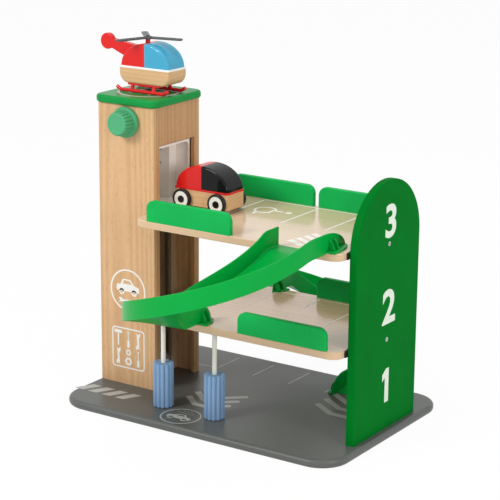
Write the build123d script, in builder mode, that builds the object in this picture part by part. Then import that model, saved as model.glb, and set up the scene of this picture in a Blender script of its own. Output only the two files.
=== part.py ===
"""Toy parking garage with a hand-wound car lift, two curved ramps, a car and a helicopter.

Millimetres.  +X runs along the front from the lift tower to the number panel, +Y runs to the
rear and +Z is up.  The origin is on the underside of the base board, at the middle of its plan.
"""
from build123d import *
import math
import os

os.makedirs("parts", exist_ok=True)

# Fits
snug = 0.05             # radial clearance of a fixed round fit
running = 0.08          # radial clearance of a turning fit
face_gap = 0.4          # gap between faces that move past each other

# Base board
base_length = 455
base_depth = 309
base_thick = 12
base_corner = 42
base_edge_round = 5

# Storeys
storey_pitch = 132.5    # from one driving surface to the next
deck_thick = 10.5
deck_depth = 212
deck_corner = 18
deck_edge_round = 1.5

# Lift tower
tower_setback = 3.2     # from the base board's left end
tower_width = 97
tower_depth = 109
tower_shift = -1        # of the tower's middle from the base's, along Y
tower_height = 410
tower_board = 5.5
tower_edge_round = 1.2
window_margin = 12.5    # from the tower's outer faces to the lift opening
window_drop = 54.5      # from the tower's top to the lift opening's upper edge

# Roof board
roof_overhang = 5.5
roof_thick = 11.5
roof_corner = 14
roof_edge_round = 4

# Number panel
panel_thick = 12
panel_width = 168
panel_height = 346.5
panel_setback = 10.5    # from the base board's right end
panel_edge_round = 2
end_strip_thick = 2     # dark strip between a deck's end and the panel
end_strip_height = 9

# Battens under the decks' left ends
batten_width = 18
batten_height = 10.5

# Guards along the decks
guard_height = 30
guard_thick = 8
guard_corner = 12.5
guard_edge_round = 1.5
left_front_guard_gap = 23.4     # from the deck's left end
left_rear_guard_gap = 27.5
middle_guard_gap = 8.3          # between the two rear guards
right_guard_gap = 18.5          # from the deck's right end

# Curved ramps
ramp_from_right = 157.5 # from the decks' right ends to the upper ramp's middle
upper_ramp_radius = 100 # to the middle of the channel
lower_ramp_radius = 90
ramp_straight = 25      # straight run at each end, before the half circle
ramp_width = 74
ramp_wall = 2.5
ramp_floor = 2.5
ramp_wall_height = 24.5 # above the ramp's driving surface
ramp_blend = 0.05       # share of the half circle over which the slope builds up
ramp_stations = 24      # flats round the half circle
outer_hump_length = 50  # upper ramp's, along the upper deck
inner_hump_length = 22  # lower ramp's, along the lower deck
low_hump_length = 32
landing_length = 20     # floor that lies on the lower storey
lip_thick = 0.6
flange_width = 14
flange_thick = 2.5
rib_thick = 2
rib_depth = 9
rib_height = 16
rib_spacing = 10
first_rib = 8
peg_diameter = 5
peg_length = 6
peg_inset = 5.5         # from the wall
peg_forward = 13        # from the deck's edge

# Car wash
post_diameter = 6.5
post_front_inset = 8.4  # from the deck's front edge to the posts' axes
left_post_gap = 45.3    # from the tower to the left post's axis
post_spacing = 86.5
post_socket = 6
roller_core = 12.2
roller_lobe = 3
lobe_ring_radius = 11.5
roller_lobes = 12
roller_length = 64

# Lift shaft, knob and hoist
shaft_from_left = 50    # from the tower's left face
shaft_drop = 23.4       # below the tower's top
shaft_diameter = 5
bush_diameter = 9
bush_flange = 13
bush_flange_thick = 1.5
knob_flange_radius = 21.8
knob_flange_thick = 6
knob_cap_radius = 16.8
knob_length = 24
knob_flutes = 20
knob_flute_radius = 1.7
knob_edge = 1.5
knob_socket = 16
rail_width = 7.5
rail_depth = 12.5
rail_slot = 5.8
rail_top_gap = 36       # from the rails' upper ends to the tower's top
pulley_width = 7.6
pulley_flange_radius = 12
pulley_groove_radius = 8.7
pulley_rim = 0.8
belt_gap = 0.3
belt_thick = 1.2
belt_width = 5
idler_height = 14       # idler axis above the base board
idler_pin_diameter = 4
idler_head_diameter = 7
idler_head_thick = 0.9

# Lift cabin
cabin_clearance = 1
cabin_rear_gap = 6      # between the cabin's rear face and the tower's rear board
cabin_head_gap = 3      # from the cabin's top to the lift opening's upper edge
cabin_wall = 2
cabin_floor = 2
cabin_corner = 5
cabin_rim = 5           # border of the cabin's open side
cabin_rim_top = 3
cabin_opening_corner = 8
cavity_half_width = 13.5
cavity_depth = 16.5     # of the recess that passes the rails and the belt
lip_side_gap = 1
sill_gap = 0.5          # between the cabin's lip and the decks
slider_drop = 11        # from the cabin's top
slider_height = 34
slider_plate = 1.7
slider_half_width = 8
tongue_clearance = 0.25
tongue_end_gap = 3
jaw_thick = 2
slider_screw_spacing = 20

# Screws
screw_head = 6.4
screw_shank = 3.2
screw_recess = 0.8
screw_recess_length = 3.4
screw_recess_depth = 1
panel_screw_length = 36
base_screw_length = 34
base_screw_spacing = 56
rail_screw_length = 30
batten_screw_length = 16
batten_screw_spacing = 76
small_screw_head = 3.6
small_screw_shank = 1.6
small_screw_length = 5

# Car
car_start = 7.3         # from the deck's left end to the car
car_y = 3.7
car_length = 90.5
car_width = 43
car_ground_gap = 5.6
chassis_height = 22.4
chassis_corner = 5
car_edge_round = 1.2
band_thick = 3
band_overhang = 0.4
car_body_height = 32.4
car_body_inset = 1.2
car_body_round = 3
rear_overhang = 15.6
wheelbase = 59
tyre_diameter = 29
tyre_bore = 23
tyre_width = 6
tyre_round = 1.2
wheel_side_gap = 0.5
hub_dish = 0.8
axle_diameter = 3
cap_diameter = 10
cap_height = 1.6
cap_round = 0.7
wheel_lift = 0.3        # keeps the tyres' curved faces clear of the deck

# Helicopter
heli_forward = 6.8      # of the hull's middle from the tower's
hull_length = 86
hull_width = 43
hull_height = 21.5
hull_corner = 15
hull_round = 3
heli_band_thick = 3
cockpit_height = 32.5
cockpit_inset = 1.5
skid_diameter = 5
skid_length = 74        # straight part of a runner
skid_spacing = 42
skid_tip_rise = 4
skid_tip_run = 7
skid_shift = -3
skid_plate_length = 52
skid_plate_thick = 2.4
leg_diameter = 5.6
leg_spacing = 38
leg_lean = 4            # each leg leans in towards the plate
hull_clearance = 12.5   # from the roof to the hull
skid_lift = 0.3
tail_disc_radius = 11.5
tail_reach = 78         # from the hull's middle
tail_disc_height = 65.5 # above the roof
tail_thick = 8
tail_round = 1.5
boom_root_height = 26
boom_root_rise = 13
boom_neck = 5.5
mast_setback = 8        # from the hull's middle
mast_diameter = 7
mast_height = 4
rotor_radius = 54
rotor_hub_diameter = 12
rotor_thick = 4
blade_width = 8.5
blade_thick = 2
blade_angle = 12
rotor_pin_diameter = 3
rotor_pin_head = 5.5
rotor_pin_head_thick = 1.2
rotor_gap = 0.4

# Places worked out from the sizes above
base_left = -base_length / 2
base_right = base_length / 2
lower_top = base_thick + storey_pitch
upper_top = lower_top + storey_pitch
deck_front = -deck_depth / 2
tower_left = base_left + tower_setback
tower_right = tower_left + tower_width
tower_x = (tower_left + tower_right) / 2
tower_front = tower_shift - tower_depth / 2
tower_rear = tower_shift + tower_depth / 2
tower_top = base_thick + tower_height
roof_top = tower_top + roof_thick
window_width = tower_depth - 2 * window_margin
window_top = tower_top - window_drop
panel_outer = base_right - panel_setback
panel_inner = panel_outer - panel_thick
deck_right = panel_inner - end_strip_thick
deck_length = deck_right - tower_right
deck_x = (tower_right + deck_right) / 2
rear_guard_gaps = left_rear_guard_gap + middle_guard_gap + right_guard_gap
guard_length = (deck_length - rear_guard_gaps) / 2
left_front_guard_start = tower_right + left_front_guard_gap
left_rear_guard_start = tower_right + left_rear_guard_gap
right_guard_start = deck_right - right_guard_gap - guard_length
upper_ramp_x = deck_right - ramp_from_right
lower_ramp_x = upper_ramp_x - upper_ramp_radius + lower_ramp_radius
shaft_x = tower_left + shaft_from_left
shaft_z = tower_top - shaft_drop
rail_front = tower_rear - tower_board - rail_depth
rail_offset = (rail_slot + rail_width) / 2
pulley_rear = rail_front - face_gap
pulley_front = pulley_rear - pulley_width
pulley_y = (pulley_front + pulley_rear) / 2
idler_z = base_thick + idler_height
belt_inner = pulley_groove_radius + belt_gap
belt_outer = belt_inner + belt_thick
post_y = deck_front + post_front_inset
left_post_x = tower_right + left_post_gap
right_post_x = left_post_x + post_spacing
post_xs = (left_post_x, right_post_x)
batten_x = tower_right + batten_width / 2
cabin_bottom = upper_top - cabin_floor
cabin_height = window_top - cabin_head_gap - cabin_bottom
slider_bottom = cabin_bottom + cabin_height - slider_drop - slider_height
car_rear_x = tower_right + car_start
heli_x = tower_x + heli_forward
heli_y = tower_shift
tail_disc_x = heli_x - tail_reach
mast_x = heli_x - mast_setback

CENTRED = (Align.CENTER, Align.CENTER, Align.CENTER)
STANDING = (Align.CENTER, Align.CENTER, Align.MIN)
HANGING = (Align.CENTER, Align.CENTER, Align.MAX)
LOW = (Align.CENTER, Align.MIN)


def finish(piece, label):
    """Name a finished piece and write it to its own file."""
    piece.part.label = label
    export_step(piece.part, f"parts/{label}.step")


def facing(x, y, z, direction):
    """A plane at a point, with its normal along the given direction."""
    return Plane(origin=(x, y, z), z_dir=direction)


def screw_form(head, shank, length):
    """A countersunk screw whose head's face is at the origin and whose shank runs down."""
    cone = (head - shank) / 2
    with BuildPart() as form:
        with BuildSketch(Plane.XZ):
            with BuildLine():
                Polyline(
                    (0, 0),
                    (head / 2, 0),
                    (shank / 2, -cone),
                    (shank / 2, -length + cone),
                    (0, -length),
                    close=True,
                )
            make_face()
        revolve(axis=Axis.Z)
        recess = head / screw_head
        with Locations((0, 0, 0)):
            for turn in (0, 90):
                with Locations(Rotation(0, 0, turn)):
                    Box(
                        screw_recess_length * recess,
                        screw_recess * recess,
                        screw_recess_depth * recess,
                        align=HANGING,
                        mode=Mode.SUBTRACT,
                    )
    return form.part


def pulley_form(bore):
    """A flanged belt pulley about Z, centred on its groove."""
    with BuildPart() as form:
        with BuildSketch(Plane.XZ):
            with BuildLine():
                Polyline(
                    (bore, -pulley_width / 2),
                    (pulley_flange_radius, -pulley_width / 2),
                    (pulley_flange_radius, -pulley_width / 2 + pulley_rim),
                    (pulley_groove_radius, -belt_width / 2 - belt_gap),
                    (pulley_groove_radius, belt_width / 2 + belt_gap),
                    (pulley_flange_radius, pulley_width / 2 - pulley_rim),
                    (pulley_flange_radius, pulley_width / 2),
                    (bore, pulley_width / 2),
                    close=True,
                )
            make_face()
        revolve(axis=Axis.Z)
    return form.part


# Base board: rounded board with the posts' sockets, the lower ramp's peg hole and screw holes.
panel_x = (panel_inner + panel_outer) / 2
panel_screw_ys = (-base_screw_spacing, 0, base_screw_spacing)
base_screw_places = [(panel_x, y) for y in panel_screw_ys]
rail_y = rail_front + rail_depth / 2
rail_screw_places = [(shaft_x + side * rail_offset, rail_y) for side in (-1, 1)]
peg_radius = peg_diameter / 2
peg_offset = ramp_width / 2 + peg_inset
outer_peg_x = upper_ramp_x + upper_ramp_radius + peg_offset
shared_peg_x = upper_ramp_x - upper_ramp_radius + peg_offset
base_peg_x = lower_ramp_x + lower_ramp_radius - peg_offset
peg_y = deck_front + peg_forward

with BuildPart() as base_board:
    with BuildSketch():
        RectangleRounded(base_length, base_depth, base_corner)
    extrude(amount=base_thick)
    rims = base_board.faces().group_by(Axis.Z)
    fillet(rims[0].edges() + rims[-1].edges(), base_edge_round)
    with Locations([(x, post_y, base_thick) for x in post_xs]):
        Hole(post_diameter / 2 + snug, post_socket)
    with Locations((base_peg_x, -peg_y, base_thick)):
        Hole(peg_radius + snug, peg_length + snug)
    with Locations([facing(x, y, 0, (0, 0, -1)) for x, y in base_screw_places + rail_screw_places]):
        CounterSinkHole(screw_shank / 2 + snug, screw_head / 2 + snug, counter_sink_angle=90)
finish(base_board, "base_board")


# Tower: front, rear and left boards, and a right frame with the lift's tall opening.
def tower_face(front_y, outward):
    """A tall board across the tower with the shaft's bush hole; outward is -1 at the front."""
    with BuildPart() as board:
        with Locations((tower_x, front_y + tower_board / 2, base_thick)):
            Box(tower_width, tower_board, tower_height, align=STANDING)
        outer = board.faces().sort_by(Axis.Y)[0 if outward < 0 else -1]
        fillet(outer.edges().filter_by(Axis.Z), tower_edge_round)
        with Locations(facing(shaft_x, front_y + tower_board / 2, shaft_z, (0, -1, 0))):
            Cylinder(bush_diameter / 2 + snug, 2 * tower_board, mode=Mode.SUBTRACT)
        if outward > 0:
            with Locations(facing(shaft_x, front_y + tower_board / 2, idler_z, (0, -1, 0))):
                Cylinder(idler_pin_diameter / 2 + snug, 2 * tower_board, mode=Mode.SUBTRACT)
    return board


finish(tower_face(tower_front, -1), "tower_front_board")
finish(tower_face(tower_rear - tower_board, 1), "tower_rear_board")

inner_depth = tower_depth - 2 * tower_board
with BuildPart() as tower_left_board:
    with Locations((tower_left + tower_board / 2, tower_shift, base_thick)):
        Box(tower_board, inner_depth, tower_height, align=STANDING)
finish(tower_left_board, "tower_left_board")

with BuildPart() as tower_lift_frame:
    with BuildSketch(Plane.YZ.offset(tower_right)):
        with Locations((tower_shift, base_thick)):
            Rectangle(inner_depth, tower_height, align=LOW)
            Rectangle(window_width, window_top - base_thick, align=LOW, mode=Mode.SUBTRACT)
    extrude(amount=-tower_board)
finish(tower_lift_frame, "tower_lift_frame")

with BuildPart() as roof_board:
    with BuildSketch(Plane.XY.offset(tower_top)):
        with Locations((tower_x, tower_shift)):
            RectangleRounded(
                tower_width + 2 * roof_overhang, tower_depth + 2 * roof_overhang, roof_corner
            )
    extrude(amount=roof_thick)
    rims = roof_board.faces().group_by(Axis.Z)
    fillet(rims[0].edges() + rims[-1].edges(), roof_edge_round)
finish(roof_board, "roof_board")

# Guide rails on the tower's rear board, with a slot between them for the cabin's slider.
rail_height = tower_height - rail_top_gap
with BuildPart() as guide_rails:
    for side in (-1, 1):
        with Locations((shaft_x + side * rail_offset, rail_y, base_thick)):
            Box(rail_width, rail_depth, rail_height, align=STANDING)
    with Locations([facing(x, y, base_thick, (0, 0, -1)) for x, y in rail_screw_places]):
        Hole(screw_shank / 2 + snug, rail_screw_length)
finish(guide_rails, "guide_rails")


# Battens under the decks' left ends, each with two screws up into its deck.
batten_tops = (lower_top - deck_thick, upper_top - deck_thick)
batten_screw_ys = (tower_shift - batten_screw_spacing / 2, tower_shift + batten_screw_spacing / 2)
batten_screw_planes = [
    facing(batten_x, y, top - batten_height, (0, 0, -1))
    for top in batten_tops
    for y in batten_screw_ys
]
with BuildPart() as deck_battens:
    for top in batten_tops:
        with Locations((batten_x, tower_shift, top)):
            Box(batten_width, tower_depth, batten_height, align=HANGING)
    with Locations(batten_screw_planes):
        CounterSinkHole(
            screw_shank / 2 + snug, screw_head / 2 + snug, batten_height, counter_sink_angle=90
        )
finish(deck_battens, "deck_battens")


def deck(top, peg_places):
    """A deck board with its end screw hole, batten screw holes and ramp peg holes."""
    with BuildPart() as board:
        with BuildSketch(Plane.XY.offset(top - deck_thick)):
            with Locations((deck_x, 0)):
                RectangleRounded(deck_length, deck_depth, deck_corner)
        extrude(amount=deck_thick)
        rims = board.faces().group_by(Axis.Z)
        fillet(rims[0].edges() + rims[-1].edges(), deck_edge_round)
        with Locations(facing(deck_right, 0, top - deck_thick / 2, (1, 0, 0))):
            Hole(screw_shank / 2 + snug, panel_screw_length)
        with Locations([facing(batten_x, y, top - deck_thick, (0, 0, -1)) for y in batten_screw_ys]):
            Hole(screw_shank / 2 + snug, batten_screw_length - batten_height)
        with Locations([(x, y, top) for x, y in peg_places]):
            Hole(peg_radius + snug, peg_length + snug)
    return board


upper_deck = deck(upper_top, [(outer_peg_x, peg_y)])
finish(upper_deck, "upper_deck")

lower_deck_board = deck(lower_top, [(shared_peg_x, peg_y), (shared_peg_x, -peg_y)])
post_top = lower_top - deck_thick + post_socket
with BuildPart() as lower_deck:
    add(lower_deck_board.part)
    with Locations([facing(x, post_y, lower_top - deck_thick, (0, 0, -1)) for x in post_xs]):
        Hole(post_diameter / 2 + snug, post_socket)
finish(lower_deck, "lower_deck")

# Number panel: tall board with a half-round top, standing on the base at the decks' right ends.
panel_radius = panel_width / 2
screw_levels = (lower_top - deck_thick / 2, upper_top - deck_thick / 2)
with BuildPart() as number_panel:
    with BuildSketch(Plane.YZ.offset(panel_inner)):
        with Locations((0, base_thick)):
            Rectangle(panel_width, panel_height - panel_radius, align=LOW)
        with Locations((0, base_thick + panel_height - panel_radius)):
            Circle(panel_radius)
    extrude(amount=panel_thick)
    sides = number_panel.faces().sort_by(Axis.X)
    outline = sides[0].edges() + sides[-1].edges()
    fillet([edge for edge in outline if edge.center().Z > base_thick + face_gap], panel_edge_round)
    with Locations([facing(panel_outer, 0, z, (1, 0, 0)) for z in screw_levels]):
        CounterSinkHole(screw_shank / 2 + snug, screw_head / 2 + snug, counter_sink_angle=90)
    with Locations([facing(x, y, base_thick, (0, 0, -1)) for x, y in base_screw_places]):
        Hole(screw_shank / 2 + snug, base_screw_length)
finish(number_panel, "number_panel")

# Dark strips between the decks' right ends and the number panel.
with BuildPart() as deck_end_strips:
    for level in screw_levels:
        with Locations((deck_right + end_strip_thick / 2, 0, level)):
            Box(end_strip_thick, deck_depth - 2 * deck_corner, end_strip_height, align=CENTRED)
    with Locations([facing(panel_inner, 0, z, (1, 0, 0)) for z in screw_levels]):
        Hole(screw_shank / 2 + snug, end_strip_thick)
finish(deck_end_strips, "deck_end_strips")

# Screws: number panel, base board and battens.
panel_screw = screw_form(screw_head, screw_shank, panel_screw_length)
with BuildPart() as panel_screws:
    with Locations([facing(panel_outer, 0, z, (1, 0, 0)) for z in screw_levels]):
        add(panel_screw)
finish(panel_screws, "panel_screws")

with BuildPart() as base_screws:
    with Locations([facing(x, y, 0, (0, 0, -1)) for x, y in base_screw_places]):
        add(screw_form(screw_head, screw_shank, base_screw_length))
    with Locations([facing(x, y, 0, (0, 0, -1)) for x, y in rail_screw_places]):
        add(screw_form(screw_head, screw_shank, rail_screw_length))
finish(base_screws, "base_screws")

with BuildPart() as batten_screws:
    with Locations(batten_screw_planes):
        add(screw_form(screw_head, screw_shank, batten_screw_length))
finish(batten_screws, "batten_screws")


# Guards: low boards with round upper corners, standing on the decks' front and rear edges.
def guard(start_x, side, top):
    """A guard flush with the deck's front edge (side -1) or its rear edge (side 1)."""
    middle_y = side * (deck_depth - guard_thick) / 2
    with BuildPart() as board:
        with BuildSketch(Plane.XZ.offset(-middle_y)):
            with Locations((start_x + guard_length / 2, top)):
                outline = Rectangle(guard_length, guard_height, align=LOW)
            fillet(outline.vertices().group_by(Axis.Y)[-1], guard_corner)
        extrude(amount=guard_thick / 2, both=True)
        faces = board.faces().sort_by(Axis.Y)
        rims = faces[0].edges() + faces[-1].edges()
        fillet([edge for edge in rims if edge.center().Z > top + face_gap], guard_edge_round)
    return board


finish(guard(left_front_guard_start, -1, upper_top), "upper_front_guard")
finish(guard(left_rear_guard_start, 1, upper_top), "upper_rear_left_guard")
finish(guard(right_guard_start, 1, upper_top), "upper_rear_right_guard")
finish(guard(right_guard_start, -1, lower_top), "lower_front_guard")
finish(guard(right_guard_start, 1, lower_top), "lower_rear_right_guard")


# Ramps: channel mouldings that leave a deck at its edge, turn through a half circle and come
# down on the storey below.  Drawn about the half circle's middle, in front of the deck, with
# the upper driving surface at height 0.
ramp_drop = storey_pitch - ramp_floor
turn_y = deck_front - ramp_straight


def ramp_height(share):
    """Height at a share of the half circle: level at both ends, steady in between."""
    steady = 1 / (1 - ramp_blend)
    if share < ramp_blend:
        fallen = steady * share**2 / (2 * ramp_blend)
    elif share > 1 - ramp_blend:
        fallen = 1 - steady * (1 - share) ** 2 / (2 * ramp_blend)
    else:
        fallen = steady * (share - ramp_blend / 2)
    return -ramp_drop * fallen


def ramp_section(radius, share, back):
    """The plane across the channel at a share of the half circle, moved back towards the deck."""
    angle = math.pi * share
    across = (math.cos(angle), -math.sin(angle), 0)
    along = (-math.sin(angle), -math.cos(angle), 0)
    middle = (
        radius * math.cos(angle),
        turn_y - radius * math.sin(angle) + back,
        ramp_height(share),
    )
    return Plane(origin=middle, x_dir=across, z_dir=along)


def add_hump(wall_x, outward, foot_z, length, height):
    """A wall's rounded end on a deck, with its flange, two ribs and the peg under the flange."""
    with BuildSketch(Plane.YZ.offset(wall_x)) as end_wall:
        with Locations((deck_front, foot_z)):
            Ellipse(length, height)
            Rectangle(length, height, align=(Align.MIN, Align.MIN), mode=Mode.INTERSECT)
    extrude(end_wall.sketch, amount=-outward * ramp_wall)
    with BuildSketch(Plane.XY.offset(foot_z)) as flange:
        with Locations((wall_x, deck_front)):
            Ellipse(flange_width, length)
            side = Align.MIN if outward > 0 else Align.MAX
            Rectangle(flange_width, length, align=(side, Align.MIN), mode=Mode.INTERSECT)
    extrude(flange.sketch, amount=flange_thick)
    for rib in range(2):
        rib_y = deck_front + first_rib + rib * rib_spacing
        with BuildSketch(Plane.XZ.offset(-rib_y)) as gusset:
            with Locations((wall_x, foot_z)):
                Ellipse(rib_depth, rib_height)
                Rectangle(rib_depth, rib_height, align=(side, Align.MIN), mode=Mode.INTERSECT)
        extrude(gusset.sketch, amount=rib_thick / 2, both=True)
    with Locations((wall_x + outward * peg_inset, peg_y, foot_z)):
        Cylinder(peg_radius, peg_length, align=HANGING)


def ramp_moulding(radius, top_outward, top_hump_length):
    """A whole ramp; its upper hump is on the outer wall (1) or on the inner wall (-1)."""
    inner = ramp_width / 2 - ramp_wall
    shares = [station / ramp_stations for station in range(ramp_stations + 1)]
    turn = [ramp_section(radius, share, 0) for share in shares]
    start = ramp_section(radius, 0, ramp_straight)
    end = ramp_section(radius, 1, ramp_straight)
    sections = [start] + turn + [end]
    with BuildPart() as moulding:
        for section in sections:
            with BuildSketch(section):
                with BuildLine():
                    Polyline(
                        (-ramp_width / 2, -ramp_floor),
                        (ramp_width / 2, -ramp_floor),
                        (ramp_width / 2, ramp_wall_height),
                        (inner, ramp_wall_height),
                        (inner, 0),
                        (-inner, 0),
                        (-inner, ramp_wall_height),
                        (-ramp_width / 2, ramp_wall_height),
                        close=True,
                    )
                make_face()
        loft(ruled=True)
        top_face = radius + top_outward * ramp_width / 2
        add_hump(top_face, top_outward, 0, top_hump_length, ramp_wall_height)
        low_face = ramp_width / 2 - radius
        add_hump(low_face, 1, -storey_pitch, low_hump_length, ramp_wall_height + ramp_floor)
        with BuildSketch(Plane.YZ.offset(-radius)):
            with BuildLine():
                Polyline(
                    (deck_front, -storey_pitch),
                    (deck_front + landing_length, -storey_pitch),
                    (deck_front + landing_length, -storey_pitch + lip_thick),
                    (deck_front, -ramp_drop),
                    close=True,
                )
            make_face()
        extrude(amount=ramp_width / 2, both=True)
    return moulding.part


with BuildPart() as upper_ramp:
    with Locations(Location((upper_ramp_x, 0, upper_top))):
        add(ramp_moulding(upper_ramp_radius, 1, outer_hump_length))
finish(upper_ramp, "upper_ramp")

with BuildPart() as lower_ramp:
    with Locations(Location((lower_ramp_x, 0, lower_top), (0, 0, 180))):
        add(ramp_moulding(lower_ramp_radius, -1, inner_hump_length))
finish(lower_ramp, "lower_ramp")

# Car wash: two posts between the base and the lower deck, each with a lobed roller on it.
post_bottom = base_thick - post_socket
with BuildPart() as wash_posts:
    with Locations([(x, post_y, post_bottom) for x in post_xs]):
        Cylinder(post_diameter / 2, post_top - post_bottom, align=STANDING)
finish(wash_posts, "wash_posts")


def wash_roller(x):
    """A lobed roller that turns on its post, just clear of the base board."""
    with BuildPart() as roller:
        with BuildSketch(Plane.XY.offset(base_thick + face_gap)):
            with Locations((x, post_y)):
                Circle(roller_core)
                with PolarLocations(lobe_ring_radius, roller_lobes):
                    Circle(roller_lobe)
                Circle(post_diameter / 2 + running, mode=Mode.SUBTRACT)
        extrude(amount=roller_length)
    return roller


finish(wash_roller(left_post_x), "wash_roller_left")
finish(wash_roller(right_post_x), "wash_roller_right")

# Hoist: bushes, shaft, drive pulley, idler, belt and the knob on the tower's front.
bush_planes = [
    facing(shaft_x, tower_front + tower_board, shaft_z, (0, 1, 0)),
    facing(shaft_x, tower_rear - tower_board, shaft_z, (0, -1, 0)),
]
with BuildPart() as shaft_bushes:
    for plane in bush_planes:
        with BuildSketch(plane):
            Circle(bush_flange / 2)
            Circle(shaft_diameter / 2 + running, mode=Mode.SUBTRACT)
        extrude(amount=bush_flange_thick)
        with BuildSketch(plane):
            Circle(bush_diameter / 2)
            Circle(shaft_diameter / 2 + running, mode=Mode.SUBTRACT)
        extrude(amount=-tower_board)
finish(shaft_bushes, "shaft_bushes")

knob_plane = facing(shaft_x, tower_front - face_gap, shaft_z, (0, -1, 0))
with BuildPart() as lift_knob:
    with BuildSketch(knob_plane):
        Circle(knob_flange_radius)
    extrude(amount=knob_flange_thick)
    with BuildSketch(knob_plane):
        Circle(knob_cap_radius)
    extrude(amount=knob_length)
    front = lift_knob.faces().sort_by(Axis.Y)[0]
    chamfer(front.edges(), knob_edge)
    with BuildSketch(knob_plane.offset(knob_flange_thick)):
        with PolarLocations(knob_cap_radius, knob_flutes):
            Circle(knob_flute_radius)
    extrude(amount=knob_length, mode=Mode.SUBTRACT)
    with Locations(facing(shaft_x, tower_front - face_gap, shaft_z, (0, 1, 0))):
        Hole(shaft_diameter / 2 + snug, knob_socket)
finish(lift_knob, "lift_knob")

shaft_front = tower_front - face_gap - knob_socket
with BuildPart() as knob_shaft:
    with BuildSketch(facing(shaft_x, shaft_front, shaft_z, (0, 1, 0))):
        Circle(shaft_diameter / 2)
    extrude(amount=tower_rear - shaft_front)
finish(knob_shaft, "knob_shaft")

with BuildPart() as drive_pulley:
    with Locations(facing(shaft_x, pulley_y, shaft_z, (0, 1, 0))):
        add(pulley_form(shaft_diameter / 2 + snug))
finish(drive_pulley, "drive_pulley")

with BuildPart() as idler_pulley:
    with Locations(facing(shaft_x, pulley_y, idler_z, (0, 1, 0))):
        add(pulley_form(idler_pin_diameter / 2 + running))
finish(idler_pulley, "idler_pulley")

with BuildPart() as idler_pin:
    with BuildSketch(facing(shaft_x, pulley_front, idler_z, (0, 1, 0))):
        Circle(idler_pin_diameter / 2)
    extrude(amount=tower_rear - pulley_front)
    with BuildSketch(facing(shaft_x, pulley_front - face_gap, idler_z, (0, -1, 0))):
        Circle(idler_head_diameter / 2)
    extrude(amount=idler_head_thick)
    with BuildSketch(facing(shaft_x, pulley_front - face_gap, idler_z, (0, 1, 0))):
        Circle(idler_pin_diameter / 2)
    extrude(amount=face_gap)
finish(idler_pin, "idler_pin")

belt_span = shaft_z - idler_z
with BuildPart() as hoist_belt:
    with BuildSketch(Plane.XZ.offset(-pulley_y)):
        with Locations((shaft_x, (shaft_z + idler_z) / 2)):
            SlotCenterToCenter(belt_span, 2 * belt_outer, rotation=90)
            SlotCenterToCenter(belt_span, 2 * belt_inner, rotation=90, mode=Mode.SUBTRACT)
    extrude(amount=belt_width / 2, both=True)
finish(hoist_belt, "hoist_belt")

# Lift cabin: a box open to the decks, with a recess in its rear wall for the rails and belt.
cabin_left = tower_left + tower_board + cabin_clearance
cabin_right = tower_right - tower_board - cabin_clearance
cabin_front = tower_front + tower_board + cabin_clearance
cabin_rear = tower_rear - tower_board - cabin_rear_gap
cavity_front = cabin_rear - cavity_depth
cabin_middle = ((cabin_left + cabin_right) / 2, (cabin_front + cabin_rear) / 2)
cabin_size = (cabin_right - cabin_left, cabin_rear - cabin_front)


def cabin_plan(inset, corner):
    """The cabin's plan, drawn in by a wall's thickness for the inside."""
    with Locations(cabin_middle):
        RectangleRounded(cabin_size[0] - 2 * inset, cabin_size[1] - 2 * inset, corner)
    with Locations((shaft_x, cavity_front - inset)):
        Rectangle(
            2 * (cavity_half_width + inset), cavity_depth + 2 * inset, align=LOW, mode=Mode.SUBTRACT
        )


with BuildPart() as lift_cabin:
    with BuildSketch(Plane.XY.offset(cabin_bottom)):
        cabin_plan(0, cabin_corner)
    extrude(amount=cabin_height)
    with BuildSketch(Plane.XY.offset(upper_top)):
        cabin_plan(cabin_wall, cabin_corner - cabin_wall)
    extrude(amount=cabin_height - cabin_floor - cabin_wall, mode=Mode.SUBTRACT)
    with BuildSketch(Plane.YZ.offset(cabin_right)):
        with Locations((cabin_middle[1], upper_top)):
            opening = Rectangle(
                cabin_size[1] - 2 * cabin_rim, cabin_height - cabin_floor - cabin_rim_top, align=LOW
            )
        fillet(opening.vertices().group_by(Axis.Y)[-1], cabin_opening_corner)
    extrude(amount=-cabin_corner, mode=Mode.SUBTRACT)
    sill_width = window_width - 2 * lip_side_gap
    with Locations((cabin_right, tower_shift, upper_top)):
        Box(
            tower_right - sill_gap - cabin_right,
            sill_width,
            cabin_floor,
            align=(Align.MIN, Align.CENTER, Align.MAX),
        )
    slider_z = slider_bottom + slider_height / 2
    slider_screw_planes = [
        facing(shaft_x, cavity_front - cabin_wall, z, (0, -1, 0))
        for z in (slider_z - slider_screw_spacing / 2, slider_z + slider_screw_spacing / 2)
    ]
    with Locations(slider_screw_planes):
        CounterSinkHole(
            small_screw_shank / 2 + snug, small_screw_head / 2 + snug, cabin_wall, counter_sink_angle=90
        )
finish(lift_cabin, "lift_cabin")

# Slider: plate on the recess wall, tongue in the rails' slot, two jaws beside the belt.
tongue_half = rail_slot / 2 - tongue_clearance
tongue_length = tower_rear - tower_board - tongue_end_gap - cavity_front
jaw_reach = rail_front - 2 * face_gap - cavity_front
with BuildPart() as cabin_slider:
    with BuildSketch(Plane.XY.offset(slider_bottom)):
        with Locations((shaft_x, cavity_front)):
            Rectangle(2 * tongue_half, tongue_length, align=LOW)
        plate_right = belt_outer + belt_gap + jaw_thick
        with Locations((shaft_x - slider_half_width, cavity_front)):
            Rectangle(slider_half_width + plate_right, slider_plate, align=(Align.MIN, Align.MIN))
        for jaw_x in (belt_inner - belt_gap - jaw_thick, belt_outer + belt_gap):
            with Locations((shaft_x + jaw_x, cavity_front)):
                Rectangle(jaw_thick, jaw_reach, align=(Align.MIN, Align.MIN))
    extrude(amount=slider_height)
    with Locations([plane.offset(-cabin_wall) for plane in slider_screw_planes]):
        Hole(small_screw_shank / 2 + snug, small_screw_length)
finish(cabin_slider, "cabin_slider")

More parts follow.
